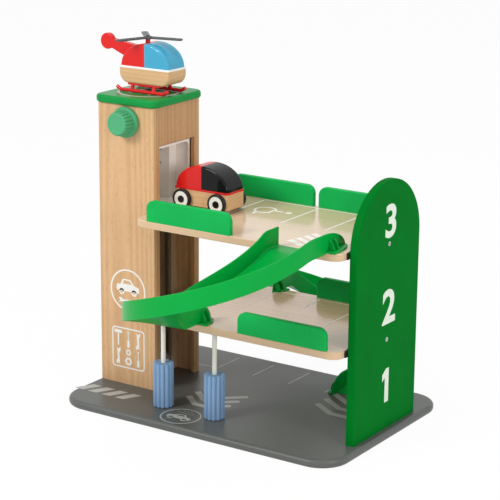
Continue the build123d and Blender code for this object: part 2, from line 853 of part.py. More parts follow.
with BuildPart() as slider_screws:
    with Locations(slider_screw_planes):
        add(screw_form(small_screw_head, small_screw_shank, small_screw_length))
finish(slider_screws, "slider_screws")

# Car: wooden chassis, band, two-part body and two axles with wheels.
car_middle_x = car_rear_x + car_length / 2
wheel_radius = tyre_diameter / 2
wheel_z = upper_top + wheel_lift + wheel_radius
chassis_bottom = upper_top + wheel_lift + car_ground_gap
chassis_top = chassis_bottom + chassis_height
rear_axle_x = car_rear_x + rear_overhang
front_axle_x = rear_axle_x + wheelbase
axle_xs = (rear_axle_x, front_axle_x)

with BuildPart() as car_chassis:
    with BuildSketch(Plane.XY.offset(chassis_bottom)):
        with Locations((car_middle_x, car_y)):
            RectangleRounded(car_length, car_width, chassis_corner)
    extrude(amount=chassis_height)
    fillet(car_chassis.faces().sort_by(Axis.Z)[0].edges(), car_edge_round)
    with Locations([facing(x, car_y, wheel_z, (0, 1, 0)) for x in axle_xs]):
        Cylinder(axle_diameter / 2 + running, 2 * car_width, mode=Mode.SUBTRACT)
finish(car_chassis, "car_chassis")

with BuildPart() as car_band:
    with BuildSketch(Plane.XY.offset(chassis_top)):
        with Locations((car_middle_x, car_y)):
            RectangleRounded(
                car_length + 2 * band_overhang,
                car_width + 2 * band_overhang,
                chassis_corner + band_overhang,
            )
    extrude(amount=band_thick)
    rims = car_band.faces().group_by(Axis.Z)
    fillet(rims[-1].edges() + rims[0].edges(), car_edge_round / 2)
finish(car_band, "car_band")


def half_dome(middle_x, middle_y, floor_z, half_length, width, height, forward, edge_round):
    """One end of a body: a quarter ellipse from the side, with rounded upper edges."""
    with BuildPart() as dome:
        with BuildSketch(Plane.XZ.offset(-middle_y)):
            with Locations((middle_x, floor_z)):
                Ellipse(half_length, height)
                side = Align.MIN if forward > 0 else Align.MAX
                Rectangle(half_length, height, align=(side, Align.MIN), mode=Mode.INTERSECT)
        extrude(amount=width / 2, both=True)
        arcs = dome.edges().filter_by(GeomType.ELLIPSE)
        fillet(arcs, edge_round)
    return dome


car_half = car_length / 2 - car_body_inset
car_body_width = car_width - 2 * car_body_inset
car_body_floor = chassis_top + band_thick
for forward, label in ((-1, "car_rear_body"), (1, "car_front_body")):
    finish(
        half_dome(
            car_middle_x, car_y, car_body_floor, car_half, car_body_width, car_body_height, forward,
            car_body_round,
        ),
        label,
    )

wheel_inner = car_width / 2 + wheel_side_gap
for axle_x, name in zip(axle_xs, ("rear", "front")):
    with BuildPart() as tyres:
        for side in (-1, 1):
            with BuildSketch(facing(axle_x, car_y + side * wheel_inner, wheel_z, (0, side, 0))):
                Circle(tyre_diameter / 2)
                Circle(tyre_bore / 2, mode=Mode.SUBTRACT)
            extrude(amount=tyre_width)
        rims = tyres.edges().filter_by(GeomType.CIRCLE).group_by(SortBy.RADIUS)[-1]
        fillet(rims, tyre_round)
    finish(tyres, f"car_{name}_tyres")

    with BuildPart() as hubs:
        for side in (-1, 1):
            with BuildSketch(facing(axle_x, car_y + side * wheel_inner, wheel_z, (0, side, 0))):
                Circle(tyre_bore / 2)
                Circle(axle_diameter / 2 + snug, mode=Mode.SUBTRACT)
            extrude(amount=tyre_width - hub_dish)
    finish(hubs, f"car_{name}_hubs")

    axle_half = wheel_inner + tyre_width - hub_dish
    with BuildPart() as axle:
        with BuildSketch(facing(axle_x, car_y, wheel_z, (0, 1, 0))):
            Circle(axle_diameter / 2)
        extrude(amount=axle_half, both=True)
        for side in (-1, 1):
            with BuildSketch(facing(axle_x, car_y + side * axle_half, wheel_z, (0, side, 0))):
                Circle(cap_diameter / 2)
            extrude(amount=cap_height)
        ends = axle.faces().sort_by(Axis.Y)
        fillet(ends[0].edges() + ends[-1].edges(), cap_round)
    finish(axle, f"car_{name}_axle")

# Helicopter: wooden hull, band, two-part cockpit, tail, skids, mast and rotor.
hull_bottom = roof_top + skid_lift + hull_clearance
hull_top = hull_bottom + hull_height
cockpit_floor = hull_top + heli_band_thick
cockpit_top = cockpit_floor + cockpit_height

with BuildPart() as heli_hull:
    with BuildSketch(Plane.XZ.offset(-heli_y)):
        with Locations((heli_x, hull_bottom)):
            outline = Rectangle(hull_length, hull_height, align=LOW)
        fillet(outline.vertices().group_by(Axis.Y)[0], hull_corner)
    extrude(amount=hull_width / 2, both=True)
    sides = heli_hull.faces().sort_by(Axis.Y)
    rims = sides[0].edges() + sides[-1].edges()
    fillet([edge for edge in rims if edge.center().Z < hull_top - face_gap], hull_round)
finish(heli_hull, "heli_hull")

with BuildPart() as heli_band:
    with BuildSketch(Plane.XY.offset(hull_top)):
        with Locations((heli_x, heli_y)):
            RectangleRounded(
                hull_length + 2 * band_overhang, hull_width + 2 * band_overhang, hull_round + band_overhang
            )
    extrude(amount=heli_band_thick)
    rims = heli_band.faces().group_by(Axis.Z)
    fillet(rims[-1].edges() + rims[0].edges(), car_edge_round / 2)
finish(heli_band, "heli_band")

cockpit_half = hull_length / 2 - cockpit_inset
cockpit_width = hull_width - 2 * cockpit_inset
for forward, label in ((-1, "heli_rear_cockpit"), (1, "heli_front_cockpit")):
    finish(
        half_dome(
            heli_x, heli_y, cockpit_floor, cockpit_half, cockpit_width, cockpit_height, forward, hull_round
        ),
        label,
    )

tail_z = roof_top + tail_disc_height
root_z = cockpit_floor + boom_root_rise
with BuildPart() as heli_tail:
    with BuildSketch(Plane.XZ.offset(-heli_y)):
        with BuildLine():
            Polyline(
                (tail_disc_x, tail_z + boom_neck),
                (tail_disc_x, tail_z - boom_neck),
                (heli_x - cockpit_half / 2, root_z - boom_root_height / 2),
                (heli_x - cockpit_half / 2, root_z + boom_root_height / 2),
                close=True,
            )
        make_face()
        with Locations((tail_disc_x, tail_z)):
            Circle(tail_disc_radius)
        with Locations((heli_x, cockpit_floor)):
            Ellipse(cockpit_half, cockpit_height, mode=Mode.SUBTRACT)
    extrude(amount=tail_thick / 2, both=True)
    discs = heli_tail.edges().filter_by(GeomType.CIRCLE)
    fillet(discs, tail_round)
finish(heli_tail, "heli_tail")

skid_z = roof_top + skid_lift + skid_diameter / 2
plate_bottom = hull_bottom - skid_plate_thick
skid_x = heli_x + skid_shift
with BuildPart() as heli_skids:
    for side in (-1, 1):
        runner_y = heli_y + side * skid_spacing / 2
        with BuildLine() as runner:
            Polyline(
                (skid_x - skid_length / 2 - skid_tip_run, runner_y, skid_z + skid_tip_rise),
                (skid_x - skid_length / 2, runner_y, skid_z),
                (skid_x + skid_length / 2, runner_y, skid_z),
                (skid_x + skid_length / 2 + skid_tip_run, runner_y, skid_z + skid_tip_rise),
            )
        with BuildSketch(Plane(origin=runner.wire() @ 0, z_dir=runner.wire() % 0)):
            Circle(skid_diameter / 2)
        sweep(path=runner.wire(), transition=Transition.ROUND)
        for end in (-1, 1):
            foot = Vector(skid_x + end * leg_spacing / 2, runner_y, skid_z)
            head = Vector(foot.X, runner_y - side * leg_lean, plate_bottom)
            with BuildSketch(Plane(origin=foot, z_dir=head - foot)):
                Circle(leg_diameter / 2)
            extrude(amount=(head - foot).length)
    with Locations((skid_x, heli_y, plate_bottom)):
        Box(
            skid_plate_length,
            skid_spacing - 2 * leg_lean + leg_diameter,
            skid_plate_thick,
            align=STANDING,
        )
finish(heli_skids, "heli_skids")

with BuildPart() as heli_mast:
    with BuildSketch(Plane.XY.offset(cockpit_top - mast_height)):
        with Locations((mast_x, heli_y)):
            Circle(mast_diameter / 2)
            Circle(rotor_pin_diameter / 2 + snug, mode=Mode.SUBTRACT)
    extrude(amount=2 * mast_height)
    with BuildSketch(Plane.XZ.offset(-heli_y)):
        with Locations((heli_x, cockpit_floor)):
            Ellipse(cockpit_half, cockpit_height)
    extrude(amount=mast_diameter, both=True, mode=Mode.SUBTRACT)
finish(heli_mast, "heli_mast")

rotor_bottom = cockpit_top + mast_height + rotor_gap
with BuildPart() as heli_rotor:
    with BuildSketch(Plane.XY.offset(rotor_bottom)):
        with Locations((mast_x, heli_y)):
            Circle(rotor_hub_diameter / 2)
            Circle(rotor_pin_diameter / 2 + running, mode=Mode.SUBTRACT)
    extrude(amount=rotor_thick)
    with BuildSketch(Plane.XY.offset(rotor_bottom + (rotor_thick - blade_thick) / 2)):
        with Locations((mast_x, heli_y)):
            with PolarLocations(0, 3, start_angle=blade_angle):
                with Locations(((rotor_radius + rotor_hub_diameter / 4) / 2, 0)):
                    SlotOverall(rotor_radius - rotor_hub_diameter / 4, blade_width)
            Circle(rotor_hub_diameter / 4, mode=Mode.SUBTRACT)
    extrude(amount=blade_thick)
finish(heli_rotor, "heli_rotor")

rotor_top = rotor_bottom + rotor_thick + rotor_gap
with BuildPart() as rotor_pin:
    with Locations((mast_x, heli_y, rotor_top)):
        Cylinder(rotor_pin_diameter / 2, rotor_top - cockpit_top, align=HANGING)
        Cylinder(rotor_pin_head / 2, rotor_pin_head_thick, align=STANDING)
finish(rotor_pin, "rotor_pin")
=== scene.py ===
# %% [markdown]
# # A toy parking garage with a lift
#
# The garage is made of painted boards, veneered boards, a few plastic mouldings and two toys.
# Each of them gets a finish here, and the pieces whose curves need more care are rebuilt.

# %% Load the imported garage
import math

import bmesh
import bpy
from mathutils import Matrix, Vector


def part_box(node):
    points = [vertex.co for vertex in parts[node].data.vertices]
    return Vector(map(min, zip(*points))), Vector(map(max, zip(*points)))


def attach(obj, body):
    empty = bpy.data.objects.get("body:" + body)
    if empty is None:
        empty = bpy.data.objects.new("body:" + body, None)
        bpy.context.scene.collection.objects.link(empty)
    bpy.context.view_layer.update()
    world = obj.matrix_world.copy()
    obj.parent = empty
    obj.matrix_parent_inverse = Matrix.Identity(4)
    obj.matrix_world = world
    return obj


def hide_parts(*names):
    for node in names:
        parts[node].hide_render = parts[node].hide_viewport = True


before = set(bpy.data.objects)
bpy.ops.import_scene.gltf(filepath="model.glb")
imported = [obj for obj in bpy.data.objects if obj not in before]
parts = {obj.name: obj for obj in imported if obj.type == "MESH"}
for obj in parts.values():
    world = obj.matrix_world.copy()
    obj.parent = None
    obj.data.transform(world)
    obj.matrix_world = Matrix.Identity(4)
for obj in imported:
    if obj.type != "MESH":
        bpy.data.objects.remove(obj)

MM = 0.001
BASE_TOP, LOWER_DECK, UPPER_DECK, ROOF_TOP = 12, 144.5, 277, 433.5
TOWER_FRONT, PANEL_FACE, DECK_FRONT, POST_Y = -55.5, 217, -106, -97.6
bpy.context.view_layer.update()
print("packed nodes:", len(parts))

# %% [markdown]
# ## The stage
#
# A product picture has a white ground. The floor and the world are white for the camera, which
# keeps the lamps free to light the toy at a plain level. Mirror-like paths see the same white.
# The floor still takes a soft shadow, because a small part of its white comes from the lamps.

# %% Camera
FOCAL_LENGTH_IN_PIXELS, PICTURE_IN_PIXELS, CAMERA_ROLL = 1785.44, 500, 0.4947
lens = bpy.data.cameras.new("camera")
lens.sensor_width = 36
lens.lens = FOCAL_LENGTH_IN_PIXELS / PICTURE_IN_PIXELS * lens.sensor_width
lens.clip_end = 50
camera = bpy.data.objects.new("camera", lens)
camera.location = (1.3149, -1.9994, 0.8818)
camera.rotation_euler = (math.radians(74.7393), 0, math.radians(33.3995))
camera.matrix_world = (
    Matrix.Translation(camera.location)
    @ camera.rotation_euler.to_matrix().to_4x4()
    @ Matrix.Rotation(math.radians(CAMERA_ROLL), 4, "Z")
)
bpy.context.scene.collection.objects.link(camera)
bpy.context.scene.camera = camera
bpy.context.scene.view_settings.view_transform = "Standard"


# %% Shader arithmetic
class Signal:
    """One output of a shader node, with the arithmetic that the finishes need."""

    def __init__(self, finish, socket):
        self.finish = finish
        self.socket = socket

    def __add__(self, other):
        return self.finish.maths("ADD", self, other)

    def __sub__(self, other):
        return self.finish.maths("SUBTRACT", self, other)

    def __rsub__(self, other):
        return self.finish.maths("SUBTRACT", other, self)

    def __mul__(self, other):
        return self.finish.maths("MULTIPLY", self, other)

    __radd__ = __add__
    __rmul__ = __mul__


class Finish:
    """A material that is being put together from nodes."""

    def __init__(self, name):
        self.material = bpy.data.materials.new(name)
        self.material.use_nodes = True
        self.tree = self.material.node_tree
        self.tree.nodes.clear()

    def add(self, kind, settings=None, sockets=None, output=0):
        """A node of that kind; settings come first, then its sockets' values or links."""
        node = self.tree.nodes.new("ShaderNode" + kind)
        for name, value in (settings or {}).items():
            if name == "stops":
                ramp = node.color_ramp.elements
                while len(ramp) < len(value):
                    ramp.new(0.5)
                for stop, (place, colour) in zip(ramp, value):
                    stop.position = place
                    stop.color = colour
            else:
                setattr(node, name, value)
        for name, value in (sockets or {}).items():
            if isinstance(value, Signal):
                self.tree.links.new(value.socket, node.inputs[name])
            else:
                node.inputs[name].default_value = value
        return Signal(self, node.outputs[output]) if node.outputs else None

    def maths(self, operation, a, b):
        return self.add("Math", {"operation": operation}, {0: a, 1: b})

    def mix(self, share, a, b):
        """Colour a where share is 0 and colour b where it is 1."""
        return self.add("Mix", {"data_type": "RGBA"}, {0: share, 6: a, 7: b}, output=2)

    def between(self, value, low, high):
        """0 below low, 1 above high and smooth in between."""
        return self.add(
            "MapRange",
            {"interpolation_type": "SMOOTHSTEP"},
            {"Value": value, "From Min": low, "From Max": high},
        )

    def place(self, scale=(1, 1, 1), offset=(0, 0, 0), turn=(0, 0, 0)):
        """The object's own coordinates in metres, scaled to stretch a pattern."""
        where = self.add("TexCoord", output=3)
        return self.add(
            "Mapping", None, {"Vector": where, "Location": offset, "Rotation": turn, "Scale": scale}
        )

    def noise(self, vector, scale, detail=2.0, rough=0.5, warp=0.0):
        return self.add(
            "TexNoise",
            None,
            {"Vector": vector, "Scale": scale, "Detail": detail, "Roughness": rough, "Distortion": warp},
        )

    def surface(self, colour, roughness, height=None, relief=0.0001, **constants):
        """The Principled surface, its bump and the output; constants are set on its own sockets."""
        sockets = {"Base Color": colour, "Roughness": roughness}
        if height is not None:
            sockets["Normal"] = self.add(
                "Bump", None, {"Strength": 1.0, "Distance": relief, "Height": height}
            )
        sockets.update({name.replace("_", " "): value for name, value in constants.items()})
        shell = self.add("BsdfPrincipled", None, sockets)
        self.add("OutputMaterial", None, {"Surface": shell})
        return self.material


def tone(red, green, blue, share=1.0):
    """A linear colour, made darker or lighter by a share."""
    return (red * share, green * share, blue * share, 1)


# %% Floor and world
FLOOR_REACH, GLOW_SHARE, WORLD_STRENGTH = 9.0, 0.955, 0.52


def floor_finish():
    floor = Finish("pale_floor")
    seen = floor.add("LightPath", output="Is Camera Ray")
    for ray in ("Is Glossy Ray", "Is Transmission Ray"):
        seen = floor.maths("MAXIMUM", seen, floor.add("LightPath", output=ray))
    matte = floor.add("BsdfDiffuse", None, {"Color": tone(0.93, 0.93, 0.93)})
    glow = floor.add("Emission", None, {"Color": tone(1, 1, 1), "Strength": 1.0})
    mixed = floor.add("MixShader", None, {0: seen * GLOW_SHARE, 1: matte, 2: glow})
    floor.add("OutputMaterial", None, {"Surface": mixed})
    return floor.material


def build_floor():
    mesh = bpy.data.meshes.new("floor")
    signs = ((-1, -1), (1, -1), (1, 1), (-1, 1))
    corners = [(x * FLOOR_REACH, y * FLOOR_REACH, 0) for x, y in signs]
    mesh.from_pydata(corners, [], [(0, 1, 2, 3)])
    mesh.materials.append(floor_finish())
    floor = bpy.data.objects.new("floor", mesh)
    bpy.context.scene.collection.objects.link(floor)


def build_world():
    world = bpy.data.worlds.new("studio")
    world.use_nodes = True
    bpy.context.scene.world = world
    tree = world.node_tree
    tree.nodes.clear()
    path = tree.nodes.new("ShaderNodeLightPath")
    direct = tree.nodes.new("ShaderNodeMath")
    direct.operation = "MAXIMUM"
    seen = tree.nodes.new("ShaderNodeMath")
    seen.operation = "MAXIMUM"
    white = tree.nodes.new("ShaderNodeBackground")
    white.inputs["Color"].default_value = tone(1, 1, 1)
    soft = tree.nodes.new("ShaderNodeBackground")
    soft.inputs["Color"].default_value = tone(1, 0.99, 0.98)
    soft.inputs["Strength"].default_value = WORLD_STRENGTH
    mixed = tree.nodes.new("ShaderNodeMixShader")
    out = tree.nodes.new("ShaderNodeOutputWorld")
    tree.links.new(path.outputs["Is Camera Ray"], direct.inputs[0])
    tree.links.new(path.outputs["Is Glossy Ray"], direct.inputs[1])
    tree.links.new(direct.outputs[0], seen.inputs[0])
    tree.links.new(path.outputs["Is Transmission Ray"], seen.inputs[1])
    tree.links.new(seen.outputs[0], mixed.inputs[0])
    tree.links.new(soft.outputs[0], mixed.inputs[1])
    tree.links.new(white.outputs[0], mixed.inputs[2])
    tree.links.new(mixed.outputs[0], out.inputs["Surface"])


build_floor()
build_world()


# %% Lamps
def softbox(name, place, aim, size, power):
    """A square lamp that looks at a point; size in metres and power in watts."""
    lamp = bpy.data.lights.new(name, "AREA")
    lamp.size = size
    lamp.energy = power
    holder = bpy.data.objects.new(name, lamp)
    holder.location = place
    holder.rotation_euler = (Vector(aim) - Vector(place)).to_track_quat("-Z", "Y").to_euler()
    bpy.context.scene.collection.objects.link(holder)


softbox("key_softbox", (-1.1, -2.5, 1.9), (0, 0, 0.2), 0.9, 50)
softbox("side_softbox", (2.6, -0.9, 1.0), (-0.17, 0, 0.3), 0.8, 25)
softbox("top_softbox", (0.1, 0.2, 2.6), (0, 0, 0.2), 1.6, 16)

# %% [markdown]
# ## Finishes
#
# Every finish is a small recipe of noise patterns on the object's own coordinates, in metres, so
# a grain line keeps its real width on any piece. Colour, roughness and bump vary over a surface,
# and the rest is set once on the Principled shader.


# %% Painted board and moulded plastic
def painted_board(name, colour, rough=0.36, grain=(1, 1, 0.12), shine=0.07):
    """Sprayed paint on a board: a faint orange peel, and the wood's fibres just telling through."""
    paint = Finish(name)
    fibres = paint.noise(paint.place(grain), 260, 3, 0.6)
    peel = paint.noise(paint.place(), 900, 2, 0.5)
    cloud = paint.noise(paint.place(), 14, 3, 0.55)
    shade = paint.between(cloud * 0.75 + fibres * 0.25, 0.3, 0.7)
    body = paint.mix(shade, tone(*colour, share=0.93), tone(*colour, share=1.07))
    return paint.surface(
        body,
        rough + 0.09 * cloud,
        peel * 0.5 + fibres * 0.5,
        0.00005,
        Specular_IOR_Level=shine,
    )


def moulded_plastic(name, colour, rough=0.28, relief=0.00002, shine=0.2, gloss=0.0):
    """Plastic or lacquer: even colour, a fine spark texture, faint flow marks; gloss adds a coat."""
    plastic = Finish(name)
    spark = plastic.noise(plastic.place(), 2400, 2, 0.5)
    flow = plastic.noise(plastic.place(), 22, 3, 0.5, 0.6)
    body = plastic.mix(flow, tone(*colour, share=0.96), tone(*colour, share=1.05))
    relief_mix = spark * 0.4 + flow * 0.6
    return plastic.surface(
        body,
        rough + 0.07 * flow + 0.03 * spark,
        relief_mix,
        relief,
        Specular_IOR_Level=shine,
        Coat_Weight=gloss,
        Coat_Roughness=0.06,
    )


# The panel, the guards and the roof wear one green paint. The panel's copy is darker, painted shade for
# its broad face that turns away from the key lamp; the guards' copy is lighter, painted light for their
# lit fronts.
panel_paint_darkened_as_shade = painted_board("panel_green_paint_painted_shade", (0.0, 0.165, 0.016), 0.5, shine=0.02)
guard_paint_lightened_as_light = painted_board("guard_green_paint_painted_light", (0.008, 0.43, 0.09))
roof_paint = painted_board("roof_green_paint", (0.01, 0.27, 0.055), 0.2, (0.12, 1, 1))
ramp_plastic = moulded_plastic("ramp_green_plastic", (0.0, 0.345, 0.048), 0.27, 0.00002, 0.12)
knob_plastic = moulded_plastic("knob_green_plastic", (0.075, 0.37, 0.17), 0.36)
roller_plastic = moulded_plastic("roller_blue_plastic", (0.21, 0.34, 0.54), 0.5, 0.00004)
cabin_plastic = moulded_plastic("cabin_white_plastic", (0.96, 0.92, 0.86), 0.34)
slider_plastic = moulded_plastic("slider_grey_plastic", (0.55, 0.55, 0.53), 0.45)
bush_plastic = moulded_plastic("bush_white_plastic", (0.7, 0.69, 0.65), 0.42)
# Near-black for the strips at the deck ends: a painted shadow in the gap where a deck meets the number
# panel.
deck_end_shadow_black = moulded_plastic("deck_end_painted_shadow", (0.015, 0.015, 0.016), 0.5)
rotor_plastic = moulded_plastic("rotor_grey_plastic", (0.085, 0.088, 0.09), 0.33)
hub_plastic = moulded_plastic("hub_white_plastic", (0.83, 0.82, 0.78), 0.38)
red_lacquer = moulded_plastic("red_lacquer", (0.66, 0.01, 0.009), 0.3, 0.00002, 0.1, 0.45)
black_lacquer = moulded_plastic("black_lacquer", (0.004, 0.004, 0.004), 0.3, 0.00002, 0.05, 0.35)
blue_lacquer = moulded_plastic("blue_lacquer", (0.05, 0.35, 0.54), 0.3, 0.00002, 0.1, 0.45)
white_lacquer = moulded_plastic("white_lacquer", (0.84, 0.84, 0.82), 0.24, 0.00002, 0.3)
print("paints and plastics:", len(bpy.data.materials))


# %% [markdown]
# Real veneer shows three things: broad bands and arches where the knife crossed the year rings,
# fine fibres along the trunk, and short dark pores. The rings are a sphere pattern stretched
# along the grain, which a flat board cuts as long arches. The fibres and pores are noise
# stretched even more. One recipe with a grain direction serves the tower, the rails and the toys.


# %% Wood
def along(axis, share):
    """A scale that stretches a pattern along one axis."""
    return tuple(share if place == axis else 1 for place in range(3))


def wood_grain(wood, axis, centre, light, dark, pores=0.5, rings=55):
    """Colour and height of clear-lacquered wood with its grain along axis 0, 1 or 2."""
    turned = tuple(-value * share for value, share in zip(centre, along(axis, 0.05)))
    arches = wood.add(
        "TexWave",
        {"wave_type": "RINGS", "rings_direction": "SPHERICAL", "wave_profile": "SIN"},
        {
            "Vector": wood.place(along(axis, 0.05), turned),
            "Scale": rings,
            "Distortion": 2.2,
            "Detail": 2.0,
            "Detail Scale": 0.7,
        },
        output=1,
    )
    bands = wood.noise(wood.place(along(axis, 0.03)), 70, 3, 0.55)
    fibres = wood.noise(wood.place(along(axis, 0.02)), 900, 3, 0.65)
    specks = wood.noise(wood.place(along(axis, 0.06)), 1500, 1, 0.4)
    open_pores = wood.between(specks, 0.63, 0.72)
    figure = wood.between(arches * 0.24 + bands * 0.26 + fibres * 0.5, 0.12, 0.88)
    base = wood.mix(figure, light, dark)
    pored = wood.mix(open_pores * pores, base, tone(*dark[:3], share=0.55))
    return pored, fibres * 0.5 - open_pores * 0.6 + bands * 0.2, fibres


def veneer(name, axis, centre, light, dark, rough=0.42, pores=0.5, rings=55):
    wood = Finish(name)
    colour, height, fibres = wood_grain(wood, axis, centre, light, dark, pores, rings)
    return wood.surface(colour, rough + 0.1 * fibres, height, 0.00005, Specular_IOR_Level=0.25)


def plywood(name, light, dark, underside, pitch):
    """A lacquered deck: face veneer above and below, glued layers showing at the edges."""
    ply = Finish(name)
    centre = (0.05, 0.03, underside - 0.02)
    colour, height, fibres = wood_grain(ply, 0, centre, light, dark, 0.12, 30)
    facing = ply.add("SeparateXYZ", None, {0: ply.add("NewGeometry", output=1)}, output=2)
    level = ply.maths("ABSOLUTE", facing, 0)
    edge = 1 - ply.between(level, 0.45, 0.75)
    upright = ply.add("SeparateXYZ", None, {0: ply.place()}, output=2)
    layer = ply.maths("PINGPONG", upright - underside, pitch)
    glue = 1 - ply.between(layer, 0.0, pitch * 0.3)
    layered = ply.mix(glue * 0.2, tone(0.66, 0.45, 0.27), tone(0.48, 0.31, 0.18))
    face = ply.mix(edge, colour, layered)
    return ply.surface(
        face, 0.17 + 0.08 * fibres + 0.2 * edge, height * 0.4, 0.00005, Coat_Weight=0.38,
        Coat_Roughness=0.08,
    )


pale_oak = (0.70, 0.45, 0.245, 1)
warm_oak = (0.55, 0.32, 0.155, 1)
front_veneer = veneer("tower_front_veneer", 2, (-0.19, -0.012, 0.12), pale_oak, warm_oak)
# The side boards take a darker copy of the tower's veneer: painted shade for the faces turned away from
# the key lamp.
side_veneer_darkened_as_shade = veneer(
    "tower_side_veneer_painted_shade", 2, (-0.10, 0.01, 0.40), (0.60, 0.35, 0.17, 1), (0.46, 0.25, 0.11, 1)
)
rail_wood = veneer("rail_wood", 2, (-0.17, 0.1, 0.2), (0.66, 0.49, 0.34, 1), (0.54, 0.38, 0.25, 1))
toy_wood = veneer(
    "toy_beech", 0, (-0.1, 0.02, 0.25), (0.70, 0.45, 0.24, 1), (0.60, 0.36, 0.18, 1), 0.4, 0.3
)
upper_plywood = plywood(
    "upper_deck_plywood", (0.78, 0.59, 0.41, 1), (0.70, 0.50, 0.33, 1), 0.2665, 0.00175
)
lower_plywood = plywood(
    "lower_deck_plywood", (0.78, 0.59, 0.41, 1), (0.70, 0.50, 0.33, 1), 0.134, 0.00175
)


# %% Grey board, rubber and steel
def grey_board():
    """Dark grey lacquered fibreboard with fine speckles."""
    grey = Finish("grey_board")
    speckle = grey.between(grey.noise(grey.place(), 1800, 1, 0.4), 0.55, 0.72)
    cloud = grey.noise(grey.place(), 9, 4, 0.6)
    body = grey.mix(cloud, tone(0.092, 0.097, 0.092), tone(0.114, 0.119, 0.114))
    flecked = grey.mix(speckle * 0.22, body, tone(0.2, 0.2, 0.2))
    peel = grey.noise(grey.place(), 700, 2, 0.5)
    return grey.surface(flecked, 0.3 + 0.12 * cloud, peel, 0.00005, Specular_IOR_Level=0.3)


def rubber(name, colour, rough):
    """Dense rubber: nearly black, dusty in patches, with a fine moulded texture."""
    skin = Finish(name)
    dust = skin.noise(skin.place(), 60, 4, 0.6)
    body = skin.mix(dust, tone(*colour), tone(*colour, share=1.7))
    texture = skin.noise(skin.place(), 1600, 2, 0.5)
    return skin.surface(body, rough + 0.15 * dust, texture, 0.00004, Specular_IOR_Level=0.3)


def steel(name, colour, rough):
    """Zinc-plated steel with fine turning marks and slightly uneven plating."""
    metal = Finish(name)
    marks = metal.noise(metal.place((1, 1, 9)), 500, 3, 0.6)
    plating = metal.noise(metal.place(), 120, 3, 0.6)
    body = metal.mix(plating, tone(*colour, share=0.85), tone(*colour, share=1.1))
    return metal.surface(body, rough + 0.2 * marks, marks, 0.00003, Metallic=1.0)


base_lacquer = grey_board()
belt_rubber = rubber("belt_rubber", (0.16, 0.125, 0.09), 0.6)
tyre_rubber = rubber("tyre_black", (0.007, 0.007, 0.007), 0.28)
plated_steel = steel("plated_steel", (0.56, 0.56, 0.57), 0.28)


def print_ink(name, colour, worn=0.12):
    """Screen-printed ink: slightly uneven, and thin where it has rubbed."""
    ink = Finish(name)
    rub = ink.between(ink.noise(ink.place(), 130, 4, 0.65), 0.62, 0.8)
    body = ink.mix(rub * worn, tone(*colour), tone(*colour, share=0.6))
    return ink.surface(body, 0.34 + 0.1 * rub, rub, 0.00001, Specular_IOR_Level=0.2)


white_ink = print_ink("white_ink", (0.80, 0.79, 0.75))
grey_ink = print_ink("grey_ink", (0.42, 0.415, 0.40))
number_ink = print_ink("number_ink", (0.72, 0.80, 0.69))
deck_ink = print_ink("deck_ink", (0.93, 0.90, 0.85))
helipad_ink = print_ink("helipad_ink", (0.52, 0.56, 0.50))
post_paint = painted_board("post_cream_paint", (0.74, 0.71, 0.65), 0.38)
print("finishes:", len(bpy.data.materials))

# %% [markdown]
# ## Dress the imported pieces
#
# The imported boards, wheels and fasteners already have the right shape. They only swap their plain
# colour for one of the finishes above.


# %% Assign the finishes
def dress(finish, *names):
    for name in names:
        slots = parts[name].data.materials
        slots.clear()
        slots.append(finish)


dress(base_lacquer, "base_board")
dress(front_veneer, "tower_front_board", "tower_rear_board")
# The side boards' darker veneer is painted shade.
dress(side_veneer_darkened_as_shade, "tower_left_board", "tower_lift_frame")
dress(roof_paint, "roof_board")
dress(rail_wood, "guide_rails", "deck_battens")
dress(upper_plywood, "upper_deck")
dress(lower_plywood, "lower_deck")
# The panel's darker green is painted shade.
dress(panel_paint_darkened_as_shade, "number_panel")
# The guards' lighter green is painted light.
dress(guard_paint_lightened_as_light, "upper_front_guard", "upper_rear_left_guard", "upper_rear_right_guard")
dress(guard_paint_lightened_as_light, "lower_front_guard", "lower_rear_right_guard")
# The deck end strips are a painted shadow in the gap at the panel.
dress(deck_end_shadow_black, "deck_end_strips")
dress(plated_steel, "panel_screws")
dress(plated_steel, "base_screws", "batten_screws", "knob_shaft", "idler_pin", "slider_screws")
dress(post_paint, "wash_posts")
dress(bush_plastic, "shaft_bushes", "drive_pulley", "idler_pulley")
dress(belt_rubber, "hoist_belt")
dress(cabin_plastic, "lift_cabin")
dress(slider_plastic, "cabin_slider")
dress(toy_wood, "car_chassis", "heli_hull")
dress(red_lacquer, "car_band", "car_rear_body", "heli_rear_cockpit", "heli_tail")
dress(red_lacquer, "heli_skids", "heli_mast")
dress(rotor_plastic, "rotor_pin")
dress(black_lacquer, "car_front_body", "car_rear_axle", "car_front_axle")
dress(tyre_rubber, "car_rear_tyres", "car_front_tyres")
dress(hub_plastic, "car_rear_hubs", "car_front_hubs")
dress(white_lacquer, "heli_band")
dress(blue_lacquer, "heli_front_cockpit")

# %% [markdown]
# ## Tools for new pieces
#
# Most mouldings here follow one rule: a closed outline travels along a path and changes a little
# on the way. `skin` joins such outlines into a closed shell. `slab` uses it for a flat piece with
# rounded edges. The points are in millimetres, and `settle` turns them into metres at their place.


# %% Shells from outlines
def skin(name, rings, closed_run=False):
    """A shell through rings of equal length; its two ends are capped unless the run is closed."""
    shell = bmesh.new()
    rows = [[shell.verts.new(point) for point in ring] for ring in rings]
    pairs = list(zip(rows, rows[1:] + rows[:1])) if closed_run else list(zip(rows, rows[1:]))
    for first, second in pairs:
        for here in range(len(first)):
            there = (here + 1) % len(first)
            shell.faces.new((first[here], first[there], second[there], second[here]))
    if not closed_run:
        shell.faces.new(rows[0])
        shell.faces.new(reversed(rows[-1]))
    bmesh.ops.recalc_face_normals(shell, faces=shell.faces)
    mesh = bpy.data.meshes.new(name)
    shell.to_mesh(mesh)
    shell.free()
    return mesh


def axes(origin, across, up):
    """The matrix that carries a drawing in millimetres to its place in metres."""
    across, up = Vector(across), Vector(up)
    turned = Matrix((across, up, across.cross(up))).transposed().to_4x4()
    return Matrix.Translation(Vector(origin) * MM) @ turned @ Matrix.Scale(MM, 4)


